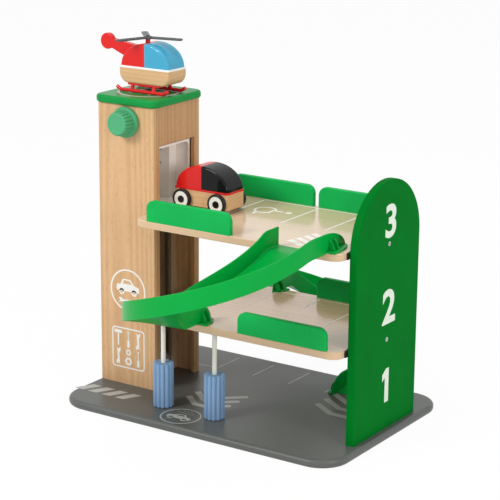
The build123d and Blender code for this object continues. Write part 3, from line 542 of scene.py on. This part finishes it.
def settle(name, meshes, finish, body, place=None, sharp=35):
    """Joins meshes into one finished piece that rides on a body."""
    whole = bmesh.new()
    for mesh in meshes:
        whole.from_mesh(mesh)
    joined = bpy.data.meshes.new(name)
    whole.to_mesh(joined)
    whole.free()
    joined.transform(place or Matrix.Scale(MM, 4))
    joined.materials.clear()
    joined.materials.append(finish)
    for face in joined.polygons:
        face.use_smooth = True
        face.material_index = 0
    joined.set_sharp_from_angle(angle=math.radians(sharp))
    piece = bpy.data.objects.new(name, joined)
    bpy.context.scene.collection.objects.link(piece)
    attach(piece, body)
    print(name, "faces:", len(joined.polygons))
    return piece


def rounded(corners, steps=5):
    """A closed outline from (x, y, radius) corners, each corner turned into an arc."""
    outline = []
    count = len(corners)
    for index, (x, y, radius) in enumerate(corners):
        here = Vector((x, y))
        back = (Vector(corners[index - 1][:2]) - here).normalized()
        ahead = (Vector(corners[(index + 1) % count][:2]) - here).normalized()
        half = math.acos(max(-1, min(1, back.dot(ahead)))) / 2
        reach = radius / math.tan(half)
        start, end = here + back * reach, here + ahead * reach
        for step in range(steps + 1):
            share = step / steps
            near = start.lerp(here, share)
            far = here.lerp(end, share)
            outline.append(tuple(near.lerp(far, share)))
    return outline


def drawn_in(outline, amount):
    """The outline moved inwards by an amount; it runs anticlockwise."""
    moved = []
    for index, point in enumerate(outline):
        before = Vector(outline[index - 1])
        after = Vector(outline[(index + 1) % len(outline)])
        run = (after - before).normalized()
        moved.append((point[0] - run.y * amount, point[1] + run.x * amount))
    return moved


def slab(name, outline, low, high, edge):
    """A flat piece between two heights, with its upper and lower edges rounded."""
    rings = []
    for turn in (0, 30, 60, 90):
        rise = edge * (1 - math.cos(math.radians(turn)))
        inset = edge * (1 - math.sin(math.radians(turn)))
        rings.append([(x, y, low + rise) for x, y in drawn_in(outline, inset)])
    for turn in (90, 60, 30, 0):
        rise = edge * (1 - math.cos(math.radians(turn)))
        inset = edge * (1 - math.sin(math.radians(turn)))
        rings.append([(x, y, high - rise) for x, y in drawn_in(outline, inset)])
    return skin(name, rings)


def moved(mesh, matrix):
    """The mesh after a turn or a shift."""
    mesh.transform(matrix)
    if matrix.to_3x3().determinant() < 0:
        mesh.flip_normals()
    return mesh


# %% [markdown]
# ## Copies by Geometry Nodes
#
# Lobes on a roller, stripes on the floor and blades on a rotor are one shape repeated by a rule.
# Two small node trees hold the rules: a ring of copies and a row of copies. The piece itself is
# the shape that is repeated, so a tree needs nothing from outside. The result is baked into a
# plain mesh, and the modifier goes.


# %% Node trees for repeated shapes
def copies_tree(name, points_kind, extra):
    """A tree that puts copies of its own geometry on points; extra inputs set the rule."""
    tree = bpy.data.node_groups.new(name, "GeometryNodeTree")
    tree.interface.new_socket("Geometry", in_out="INPUT", socket_type="NodeSocketGeometry")
    tree.interface.new_socket("Count", in_out="INPUT", socket_type="NodeSocketInt")
    tree.interface.new_socket(extra, in_out="INPUT", socket_type=points_kind)
    tree.interface.new_socket("Material", in_out="INPUT", socket_type="NodeSocketMaterial")
    tree.interface.new_socket("Geometry", in_out="OUTPUT", socket_type="NodeSocketGeometry")
    entry = tree.nodes.new("NodeGroupInput")
    place = tree.nodes.new("GeometryNodeInstanceOnPoints")
    real = tree.nodes.new("GeometryNodeRealizeInstances")
    paint = tree.nodes.new("GeometryNodeSetMaterial")
    leave = tree.nodes.new("NodeGroupOutput")
    tree.links.new(entry.outputs["Geometry"], place.inputs["Instance"])
    tree.links.new(place.outputs["Instances"], real.inputs["Geometry"])
    tree.links.new(real.outputs["Geometry"], paint.inputs["Geometry"])
    tree.links.new(entry.outputs["Material"], paint.inputs["Material"])
    tree.links.new(paint.outputs["Geometry"], leave.inputs["Geometry"])
    return tree, entry, place


def ring_tree():
    """Copies on a ring about Z, each turned to face outwards."""
    tree, entry, place = copies_tree("ring_of_copies", "NodeSocketFloat", "Radius")
    ring = tree.nodes.new("GeometryNodeMeshCircle")
    index = tree.nodes.new("GeometryNodeInputIndex")
    step = tree.nodes.new("ShaderNodeMath")
    step.operation = "DIVIDE"
    step.inputs[0].default_value = math.tau
    turn = tree.nodes.new("ShaderNodeMath")
    turn.operation = "MULTIPLY"
    spin = tree.nodes.new("ShaderNodeCombineXYZ")
    tree.links.new(entry.outputs["Count"], ring.inputs["Vertices"])
    tree.links.new(entry.outputs["Radius"], ring.inputs["Radius"])
    tree.links.new(entry.outputs["Count"], step.inputs[1])
    tree.links.new(index.outputs[0], turn.inputs[0])
    tree.links.new(step.outputs[0], turn.inputs[1])
    tree.links.new(turn.outputs[0], spin.inputs["Z"])
    tree.links.new(ring.outputs["Mesh"], place.inputs["Points"])
    tree.links.new(spin.outputs[0], place.inputs["Rotation"])
    return tree


def row_tree():
    """Copies on a straight row, one step apart."""
    tree, entry, place = copies_tree("row_of_copies", "NodeSocketVector", "Step")
    row = tree.nodes.new("GeometryNodeMeshLine")
    row.mode = "OFFSET"
    tree.links.new(entry.outputs["Count"], row.inputs["Count"])
    tree.links.new(entry.outputs["Step"], row.inputs["Offset"])
    tree.links.new(row.outputs["Mesh"], place.inputs["Points"])
    return tree


ring_of_copies = ring_tree()
row_of_copies = row_tree()


def repeat(mesh, tree, finish, **inputs):
    """Runs a tree on a mesh and returns the baked result; inputs go by the socket's name."""
    carrier = bpy.data.objects.new("carrier", mesh)
    bpy.context.scene.collection.objects.link(carrier)
    rule = carrier.modifiers.new("copies", "NODES")
    rule.node_group = tree
    inputs["Material"] = finish
    for socket in tree.interface.items_tree:
        if socket.in_out == "INPUT" and socket.name in inputs:
            rule[socket.identifier] = inputs[socket.name]
    graph = bpy.context.evaluated_depsgraph_get()
    baked = bpy.data.meshes.new_from_object(carrier.evaluated_get(graph), depsgraph=graph)
    bpy.data.objects.remove(carrier)
    return baked


# %% [markdown]
# ## The curved ramps
#
# Each ramp is one green moulding: a channel that leaves a deck, turns through a half circle and
# comes down one storey lower. Its slope is even, with a short ease at both ends. The channel's
# outline has a rounded corner between floor and wall, which catches the light as a thin line, so
# the outline carries that corner and travels along the path in many small steps.

# %% Ramp sizes
RAMP_WIDTH, RAMP_WALL, RAMP_FLOOR = 74, 2.5, 2.5
WALL_HEIGHT, RAMP_DROP, STOREY = 24.5, 130, 132.5
RAMP_STRAIGHT, BLEND, HALF_TURN_STEPS, STRAIGHT_STEPS = 25, 0.05, 84, 4
FLANGE_WIDTH, FLANGE_THICK, LOW_END_LENGTH, LANDING_LENGTH = 14, 2.5, 32, 20
RIB_REACH, RIB_HEIGHT, RIB_SPACING, FIRST_RIB, RIB_THICK = 9, 16, 10, 8, 2
OVERLAP = 0.02


def ramp_level(share):
    """Height of the driving surface at a share of the half circle."""
    steady = 1 / (1 - BLEND)
    if share < BLEND:
        fallen = steady * share**2 / (2 * BLEND)
    elif share > 1 - BLEND:
        fallen = 1 - steady * (1 - share) ** 2 / (2 * BLEND)
    else:
        fallen = steady * (share - BLEND / 2)
    return -RAMP_DROP * fallen


def channel(radius):
    """The ramp's channel, from one deck's edge to the next."""
    half, inner = RAMP_WIDTH / 2, RAMP_WIDTH / 2 - RAMP_WALL
    outline = rounded(
        [
            (-half, -RAMP_FLOOR, 1.2),
            (half, -RAMP_FLOOR, 1.2),
            (half, WALL_HEIGHT, 1.1),
            (inner, WALL_HEIGHT, 1.1),
            (inner, 0, 2.6),
            (-inner, 0, 2.6),
            (-inner, WALL_HEIGHT, 1.1),
            (-half, WALL_HEIGHT, 1.1),
        ]
    )
    turn_y = DECK_FRONT - RAMP_STRAIGHT
    straight = range(STRAIGHT_STEPS)
    stations = [(0, RAMP_STRAIGHT * (1 - step / STRAIGHT_STEPS)) for step in straight]
    stations += [(step / HALF_TURN_STEPS, 0) for step in range(HALF_TURN_STEPS + 1)]
    stations += [(1, RAMP_STRAIGHT * (step + 1) / STRAIGHT_STEPS) for step in straight]
    rings = []
    for share, back in stations:
        angle = math.pi * share
        rings.append(
            [
                (
                    (radius + across) * math.cos(angle),
                    turn_y - (radius + across) * math.sin(angle) + back,
                    ramp_level(share) + height,
                )
                for across, height in outline
            ]
        )
    return skin("channel", rings)


def quarter(reach_x, reach_y, steps=16):
    """A quarter of an ellipse between two straight sides."""
    turns = [math.pi / 2 * step / steps for step in range(steps + 1)]
    return [(0, 0)] + [(reach_x * math.cos(turn), reach_y * math.sin(turn)) for turn in turns]


def wall_end(wall_x, outward, foot, length, height):
    """A wall's rounded end on a deck, with its flange below and two ribs that brace it."""
    upright = Matrix(((0, 0, 1, 0), (1, 0, 0, 0), (0, 1, 0, 0), (0, 0, 0, 1)))
    wall = slab("wall_end", quarter(length, height), 0, RAMP_WALL, 0.9)
    inside = wall_x - RAMP_WALL if outward > 0 else wall_x
    shapes = [moved(wall, Matrix.Translation((inside, DECK_FRONT - OVERLAP, foot)) @ upright)]
    flange = slab("flange", quarter(FLANGE_WIDTH, length), 0, FLANGE_THICK, 0.7)
    side = Matrix.Diagonal((outward, 1, 1, 1))
    shapes.append(moved(flange, Matrix.Translation((wall_x, DECK_FRONT, foot)) @ side))
    rib = slab("rib", quarter(RIB_REACH, RIB_HEIGHT, 10), -RIB_THICK / 2, RIB_THICK / 2, 0.4)
    across = Matrix(((outward, 0, 0, 0), (0, 0, 1, 0), (0, 1, 0, 0), (0, 0, 0, 1)))
    step = (0, RIB_SPACING, 0)
    ribs = repeat(moved(rib, across), row_of_copies, ramp_plastic, Count=2, Step=step)
    shapes.append(moved(ribs, Matrix.Translation((wall_x, DECK_FRONT + FIRST_RIB, foot))))
    return shapes


def landing(radius):
    """The channel's floor where it runs out on the lower storey, thinning towards its end."""
    half = RAMP_WIDTH / 2
    rings = []
    for share, top in ((-0.02, 2.5), (0, 2.5), (0.35, 1.83), (0.7, 1.17), (0.97, 0.62), (1, 0.35)):
        y = DECK_FRONT + LANDING_LENGTH * share
        outline = [(-half, 0), (half, 0), (half, top), (-half, top)]
        rings.append([(x - radius, y, z - STOREY + OVERLAP) for x, z in outline])
    return skin("landing", rings)


def ramp(name, node, radius, top_outward, top_length, centre_x, level, turned):
    """A whole ramp; turned is -1 for the one that leaves the deck's rear edge."""
    top_face = radius + top_outward * RAMP_WIDTH / 2
    low_face = RAMP_WIDTH / 2 - radius
    shapes = [channel(radius), landing(radius)]
    shapes += wall_end(top_face, top_outward, 0, top_length, WALL_HEIGHT)
    shapes += wall_end(low_face, 1, -STOREY, LOW_END_LENGTH, WALL_HEIGHT + RAMP_FLOOR)
    place = axes((centre_x, 0, level), (turned, 0, 0), (0, turned, 0))
    piece = settle(name, shapes, ramp_plastic, "garage", place)
    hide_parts(node)


# %% Build both ramps
ramp("upper_ramp_moulding", "upper_ramp", 100, 1, 50, 45.5, UPPER_DECK, 1)
ramp("lower_ramp_moulding", "lower_ramp", 90, -1, 22, 35.5, LOWER_DECK, -1)

# %% [markdown]
# ## The car wash rollers
#
# Each roller is a core with twelve round ribs that stand for a brush. One rib is a rod with soft
# ends, and a ring of copies sets twelve of them round the core.


# %% Build the rollers
ROLLER_LENGTH, RIB_RADIUS, RIB_RING, CORE_BORE, CORE_RADIUS, CORE_INSET = 64, 3, 11.5, 3.33, 12.1, 0.6
ROLLER_LIFT = 0.4


def rod(radius, length, ease, turns=16):
    """A standing rod with softly rounded ends, its foot at height 0."""
    rings = []
    angles = (0, 0.5, 1.05, 1.57)
    profile = [(ease * (1 - math.cos(a)), radius - ease * (1 - math.sin(a))) for a in angles]
    stops = profile + [(length - height, size) for height, size in reversed(profile)]
    for height, size in stops:
        rings.append(
            [
                (size * math.cos(math.tau * k / turns), size * math.sin(math.tau * k / turns), height)
                for k in range(turns)
            ]
        )
    return skin("rod", rings)


def tube(inner, outer, low, high, ease, turns=64):
    """A tube about Z with eased outer edges."""
    stops = [
        (inner, low), (outer - ease, low), (outer, low + ease), (outer, high - ease),
        (outer - ease, high), (inner, high),
    ]
    rings = [
        [
            (size * math.cos(math.tau * k / turns), size * math.sin(math.tau * k / turns), height)
            for k in range(turns)
        ]
        for size, height in stops
    ]
    return skin("tube", rings, closed_run=True)


def wash_roller(name, node, body, x):
    rib = rod(RIB_RADIUS, ROLLER_LENGTH, 1.4)
    ribs = repeat(rib, ring_of_copies, roller_plastic, Count=12, Radius=RIB_RING)
    core = tube(CORE_BORE, CORE_RADIUS, CORE_INSET, ROLLER_LENGTH - CORE_INSET, 0.5)
    place = axes((x, POST_Y, BASE_TOP + ROLLER_LIFT), (1, 0, 0), (0, 1, 0))
    piece = settle(name, [ribs, core], roller_plastic, body, place)
    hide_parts(node)


wash_roller("left_wash_roller", "wash_roller_left", "left_roller", -82)
wash_roller("right_wash_roller", "wash_roller_right", "right_roller", 4.5)


# %% [markdown]
# ## The winding knob
#
# The knob is a round flange with a fluted grip in front of it. Its outline about the axis is a
# circle that dips twenty times. The dips fade out at the rounded front edge, as they do where a
# mould's flutes run out.


# %% Build the knob
FLUTES, FLUTE_DEPTH, KNOB_TURNS = 20, 1.5, 240


def knob():
    """Rings from the flange to the cap: radius, height, and how deep the flutes are there."""
    stops = [
        (2.55, 0, 0), (20.6, 0, 0), (21.5, 0.4, 0), (21.8, 1.3, 0), (21.8, 4.8, 0), (21.5, 5.6, 0),
        (20.7, 6, 0), (18.3, 6.05, 0.6), (17.7, 6.6, 1), (17.4, 12, 1), (17.0, 19.5, 1),
        (16.8, 21.2, 0.9), (16.2, 22.6, 0.6), (15.2, 23.5, 0.25), (13.8, 23.95, 0), (12.6, 23.9, 0),
        (11.9, 23.6, 0), (6, 23.5, 0), (0.4, 23.5, 0),
    ]
    rings = []
    for radius, height, fluted in stops:
        ring = []
        for k in range(KNOB_TURNS):
            angle = math.tau * k / KNOB_TURNS
            dip = max(0, math.cos(FLUTES * angle)) ** 1.5
            size = radius - FLUTE_DEPTH * fluted * dip
            ring.append((size * math.cos(angle), size * math.sin(angle), height))
        rings.append(ring)
    return skin("knob", rings)


knob_place = axes((-174.3, -55.9, 398.6), (1, 0, 0), (0, 0, 1))
knob_piece = settle("winding_knob", [knob()], knob_plastic, "knob", knob_place, 40)
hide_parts("lift_knob")

# %% [markdown]
# ## The rotor
#
# Three blades with rounded tips sit round a hub, a short tube with eased edges. A blade is a slab
# with a raised rib along its middle, and the ring of copies sets the three blades.


# %% Build the rotor
def blade():
    outline = rounded([(4, -4.2, 1), (51, -5, 4.2), (51, 5, 4.2), (4, 4.2, 1)])
    flat = slab("blade", outline, 0, 2.7, 0.9)
    spine = rounded([(4, -1.2, 0.6), (42, -0.8, 0.6), (42, 0.8, 0.6), (4, 1.2, 0.6)])
    rib = slab("blade_rib", spine, 1.6, 3.3, 0.5)
    joined = bmesh.new()
    joined.from_mesh(flat)
    joined.from_mesh(rib)
    joined.to_mesh(flat)
    joined.free()
    return flat


rotor_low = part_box("heli_rotor")[0].z / MM
blades = repeat(blade(), ring_of_copies, rotor_plastic, Count=3, Radius=1.5)
turn = Matrix.Rotation(math.radians(12), 4, "Z")
blades = moved(moved(blades, Matrix.Translation((0, 0, 0.6))), turn)
hub = tube(1.58, 6, 0, 4, 0.9)
rotor_place = axes((-177, -1, rotor_low), (1, 0, 0), (0, 1, 0))
rotor = settle("rotor_blades", [blades, hub], rotor_plastic, "rotor", rotor_place)
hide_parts("heli_rotor")

# %% [markdown]
# ## Prints
#
# The prints are flat ink. Each mark is drawn as closed outlines on a filled curve, which cuts
# inner outlines out as holes, and becomes a skin a tenth of a millimetre thick on its board.
# Stripes use the row of copies. The pictograms are plain road and workshop signs.


# %% Marks
INK_GAP = 0.03


def disc(x, y, radius, steps=56):
    return [
        (x + radius * math.cos(math.tau * k / steps), y + radius * math.sin(math.tau * k / steps))
        for k in range(steps)
    ]


def ring_mark(x, y, radius, width):
    return [disc(x, y, radius), disc(x, y, radius - width)]


def panel_mark(x0, y0, x1, y1, corner):
    return rounded([(x0, y0, corner), (x1, y0, corner), (x1, y1, corner), (x0, y1, corner)])


def frame_mark(x0, y0, x1, y1, corner, width):
    inner = panel_mark(x0 + width, y0 + width, x1 - width, y1 - width, corner - width)
    return [panel_mark(x0, y0, x1, y1, corner), inner]


def stroke(points, width):
    """A band of even width along some points, with mitred corners."""
    left, right = [], []
    for index, point in enumerate(points):
        here = Vector(point)
        back = here - Vector(points[index - 1]) if index else None
        ahead = Vector(points[index + 1]) - here if index + 1 < len(points) else None
        runs = [run.normalized() for run in (back, ahead) if run is not None]
        normals = [Vector((-run.y, run.x)) for run in runs]
        middle = sum(normals, Vector((0, 0))).normalized()
        reach = width / 2 / middle.dot(normals[0])
        left.append(tuple(here + middle * reach))
        right.append(tuple(here - middle * reach))
    return left + right[::-1]


def turned_mark(outline, angle, x, y):
    """The outline turned about its origin, then shifted."""
    c, s = math.cos(math.radians(angle)), math.sin(math.radians(angle))
    return [(x + px * c - py * s, y + px * s + py * c) for px, py in outline]


def inked(marks, thick=0.1):
    """A mesh of thin ink for marks; each mark is a list of outlines, outer first."""
    meshes = []
    for outlines in marks:
        drawing = bpy.data.curves.new("mark", "CURVE")
        drawing.dimensions = "2D"
        drawing.fill_mode = "BOTH"
        drawing.extrude = thick / 2
        for outline in outlines:
            line = drawing.splines.new("POLY")
            line.points.add(len(outline) - 1)
            for point, (x, y) in zip(line.points, outline):
                point.co = (x, y, 0, 1)
            line.use_cyclic_u = True
        carrier = bpy.data.objects.new("mark", drawing)
        bpy.context.scene.collection.objects.link(carrier)
        graph = bpy.context.evaluated_depsgraph_get()
        mesh = bpy.data.meshes.new_from_object(carrier.evaluated_get(graph), depsgraph=graph)
        meshes.append(moved(mesh, Matrix.Translation((0, 0, thick / 2 + INK_GAP))))
        bpy.data.objects.remove(carrier)
    return meshes


def flat_print(name, meshes, ink, origin, across=(1, 0, 0), up=(0, 1, 0)):
    return settle(name, meshes, ink, "garage", axes(origin, across, up), 20)


# %% Storey numbers
def numeral(sign, middle_y, low, high):
    """One bold number, sized by its height."""
    text = bpy.data.curves.new("numeral", "FONT")
    text.body = sign
    text.size = 10
    text.align_x = "CENTER"
    text.offset = 0.27
    text.extrude = 0.5
    carrier = bpy.data.objects.new("numeral", text)
    bpy.context.scene.collection.objects.link(carrier)
    graph = bpy.context.evaluated_depsgraph_get()
    mesh = bpy.data.meshes.new_from_object(carrier.evaluated_get(graph), depsgraph=graph)
    bpy.data.objects.remove(carrier)
    xs = [v.co.x for v in mesh.vertices]
    ys = [v.co.y for v in mesh.vertices]
    size = (high - low) / (max(ys) - min(ys))
    shift = Matrix.Translation((-(min(xs) + max(xs)) / 2, -min(ys), 0.5))
    fit = Matrix.Diagonal((size * 1.12, size, 0.1, 1))
    return moved(mesh, Matrix.Translation((middle_y, low, INK_GAP)) @ fit @ shift)


one = [(-2.5, 50), (8, 50), (8, 98), (0.5, 98), (-9.5, 91), (-9.5, 81), (-2.5, 85.5)]
numbers = [numeral("3", 2, 280, 326), numeral("2", 3, 161, 209)] + inked([[one]])
panel_origin = (PANEL_FACE, 0, 0)
flat_print("storey_numbers", numbers, number_ink, panel_origin, (0, 1, 0), (0, 0, 1))


# %% Prints on the grey board
def chevron(middle, low, half_width, tip, rise, width):
    """A road chevron with a flat tip that points to the front."""
    line = [(middle - half_width, low + rise), (middle - tip, low), (middle + tip, low)]
    return [stroke(line + [(middle + half_width, low + rise)], width)]


hazard_bar = inked([[[(-217, -84), (-231, -110), (-216, -110), (-202, -84)]]])[0]
hazard = repeat(hazard_bar, row_of_copies, grey_ink, Count=4, Step=(24, 0, 0))
wash_chevron = inked([chevron(-39, -68, 36, 10, 22, 9)])[0]
wash_lane = repeat(wash_chevron, row_of_copies, grey_ink, Count=3, Step=(0, 22, 0))
exit_chevron = inked([chevron(145, 8, 54, 18, 24, 9.5)])[0]
exit_lane = repeat(exit_chevron, row_of_copies, grey_ink, Count=3, Step=(0, 24, 0))
bay_line = inked([[panel_mark(-112, 78, -109, 136, 0.4)]])[0]
bays = repeat(bay_line, row_of_copies, grey_ink, Count=5, Step=(62, 0, 0))
bay_front = inked([[panel_mark(-152, 76, -109, 79, 0.4)]])[0]
base_origin = (0, 0, BASE_TOP)
lanes = [hazard, wash_lane, exit_lane, bays, bay_front]
flat_print("base_lanes", lanes, grey_ink, base_origin)


def wash_sign():
    """A ring round a plain car; the two rows of drops above the car are made apart from it."""
    x, y = -37, -119
    body = rounded(
        [
            (x - 19, y - 9, 2), (x + 19, y - 9, 2), (x + 19, y - 1, 3), (x + 10, y + 0.5, 2),
            (x + 5, y + 7, 2), (x - 8, y + 7, 3), (x - 12, y + 0.5, 2), (x - 19, y - 0.5, 2),
        ],
        3,
    )
    glass = [(x - 8, y + 1, 0.6), (x + 6, y + 1, 0.6), (x + 3, y + 5, 0.8), (x - 6, y + 5, 0.8)]
    window = rounded(glass, 3)
    wheels = [[disc(x + side, y - 10, 4.2), disc(x + side, y - 10, 2)] for side in (-11, 11)]
    return [ring_mark(x, y, 29, 2.2), [body, window]] + wheels


drop = inked([[rounded([(-50.5, -107, 0.5), (-48.5, -107, 0.9), (-47.5, -102.5, 0.3)], 3)]])[0]
drops = repeat(drop, row_of_copies, grey_ink, Count=5, Step=(5.6, 0, 0))
spray = inked([[rounded([(-45.5, -100.5, 0.5), (-43.5, -100.5, 0.9), (-42.5, -96, 0.3)], 3)]])[0]
sprays = repeat(spray, row_of_copies, grey_ink, Count=3, Step=(5.6, 0, 0))
wash_marks = inked(wash_sign()) + [drops, sprays]
flat_print("wash_sign", wash_marks, grey_ink, base_origin)


# %% Prints on the tower
def wrench(length):
    """An open-ended wrench that lies along X, centred."""
    half = length / 2
    end = [
        (half, 2.6), (half - 2.6, 1.1), (half - 2.6, -1.1), (half, -2.6), (half - 3, -4),
        (half - 6.5, -3.4), (half - 8.5, -1.5),
    ]
    return end + [(-x, -y) for x, y in end]


def service_sign():
    """A ring round a plain car seen from the side, above a wrench."""
    x, y = -175, 154
    body = rounded(
        [
            (x - 20, y - 2, 2), (x + 20, y - 2, 2), (x + 20, y + 6, 3), (x + 11, y + 8, 2),
            (x + 5, y + 16, 2.5), (x - 9, y + 16, 3), (x - 13, y + 8, 2), (x - 20, y + 7, 2),
        ],
        3,
    )
    glass = [(x - 9, y + 9, 0.8), (x + 7, y + 9, 0.8), (x + 3.5, y + 14, 0.8), (x - 7, y + 14, 0.8)]
    window = rounded(glass, 3)
    wheels = [[disc(x + side, y - 3, 4.6), disc(x + side, y - 3, 2.2)] for side in (-11, 11)]
    tool = [turned_mark(wrench(34), 0, x, y - 16)]
    return [ring_mark(x, y, 31, 2.4), [body, window], tool] + wheels


def tool_sign():
    """A framed panel of plain workshop tools."""
    marks = [frame_mark(-204, 36, -146, 97, 6, 2)]
    handle = stroke([(0, -11), (0, 8)], 2.6)
    head = rounded([(-7, 7.6, 1), (7, 7.6, 1), (6, 12.5, 1), (-7, 12.5, 1)], 3)
    marks += [[turned_mark(shape, 0, -193, 80)] for shape in (handle, head)]
    grip = rounded([(-2.3, -12, 1.2), (2.3, -12, 1.2), (1.7, -1, 1), (-1.7, -1, 1)], 3)
    shaft = [(-0.7, -0.6), (0.7, -0.6), (0.7, 9), (1.4, 12), (-1.4, 12), (-0.7, 9)]
    for x, y in ((-175, 80), (-157.5, 53)):
        marks += [[turned_mark(grip, 0, x, y)], [turned_mark(shaft, 0, x, y)]]
    marks.append([turned_mark(wrench(27), 90, -157.5, 80)])
    marks.append([turned_mark(wrench(27), 90, -193, 53)])
    nut = disc(-175, 47, 6.5, 6)
    marks.append([nut, disc(-175, 47, 3)])
    marks.append([disc(-175, 60.5, 5, 6), disc(-175, 60.5, 2.3)])
    return marks


tower_marks = inked(service_sign() + tool_sign())
tower_origin = (0, TOWER_FRONT, 0)
flat_print("tower_signs", tower_marks, white_ink, tower_origin, (1, 0, 0), (0, 0, 1))


# %% Prints on the decks and the roof
def wheelchair_sign():
    """The common sign for a reserved bay, lying across the deck."""
    turns = [math.radians(angle) for angle in range(110, 361, 10)]
    arc = [(15 * math.cos(turn), 15 * math.sin(turn) - 8) for turn in turns]
    seat = [(-3, 21), (-3, 4), (12, 4), (18, -14), (25, -12)]
    return [[stroke(arc, 3.6)], [stroke(seat, 4)], [disc(-3, 29, 5)]]


def deck_lines(xs, rear):
    """Lines between parking bays, and the line behind them."""
    lines = [[stroke([(x, -7), (x, 91)], 2.6)] for x in xs]
    return lines + [[stroke([(xs[0], rear), (xs[-1], rear)], 2.6)]]


sign = [[turned_mark(o, -90, 2, 42) for o in mark] for mark in wheelchair_sign()]
zebra_bar = inked([[stroke([(109, -76), (138, -92)], 9)]])[0]
zebra = repeat(zebra_bar, row_of_copies, deck_ink, Count=4, Step=(3, 15, 0))
upper_marks = inked(deck_lines((-39, 51.5, 122), 92.5) + sign) + [zebra]
flat_print("upper_deck_print", upper_marks, deck_ink, (0, 0, UPPER_DECK))
lower_marks = inked(deck_lines((-12, 58, 126), 91))
flat_print("lower_deck_print", lower_marks, deck_ink, (0, 0, LOWER_DECK))

helipad = [ring_mark(-175.8, -1, 45, 4)]
letter = [
    (-195, -25), (-189, -25), (-189, -4), (-162, -4), (-162, -25), (-156, -25),
    (-156, 23), (-162, 23), (-162, 2), (-189, 2), (-189, 23), (-195, 23),
]
helipad.append([letter])
flat_print("helipad_print", inked(helipad), helipad_ink, (0, 0, ROOF_TOP))
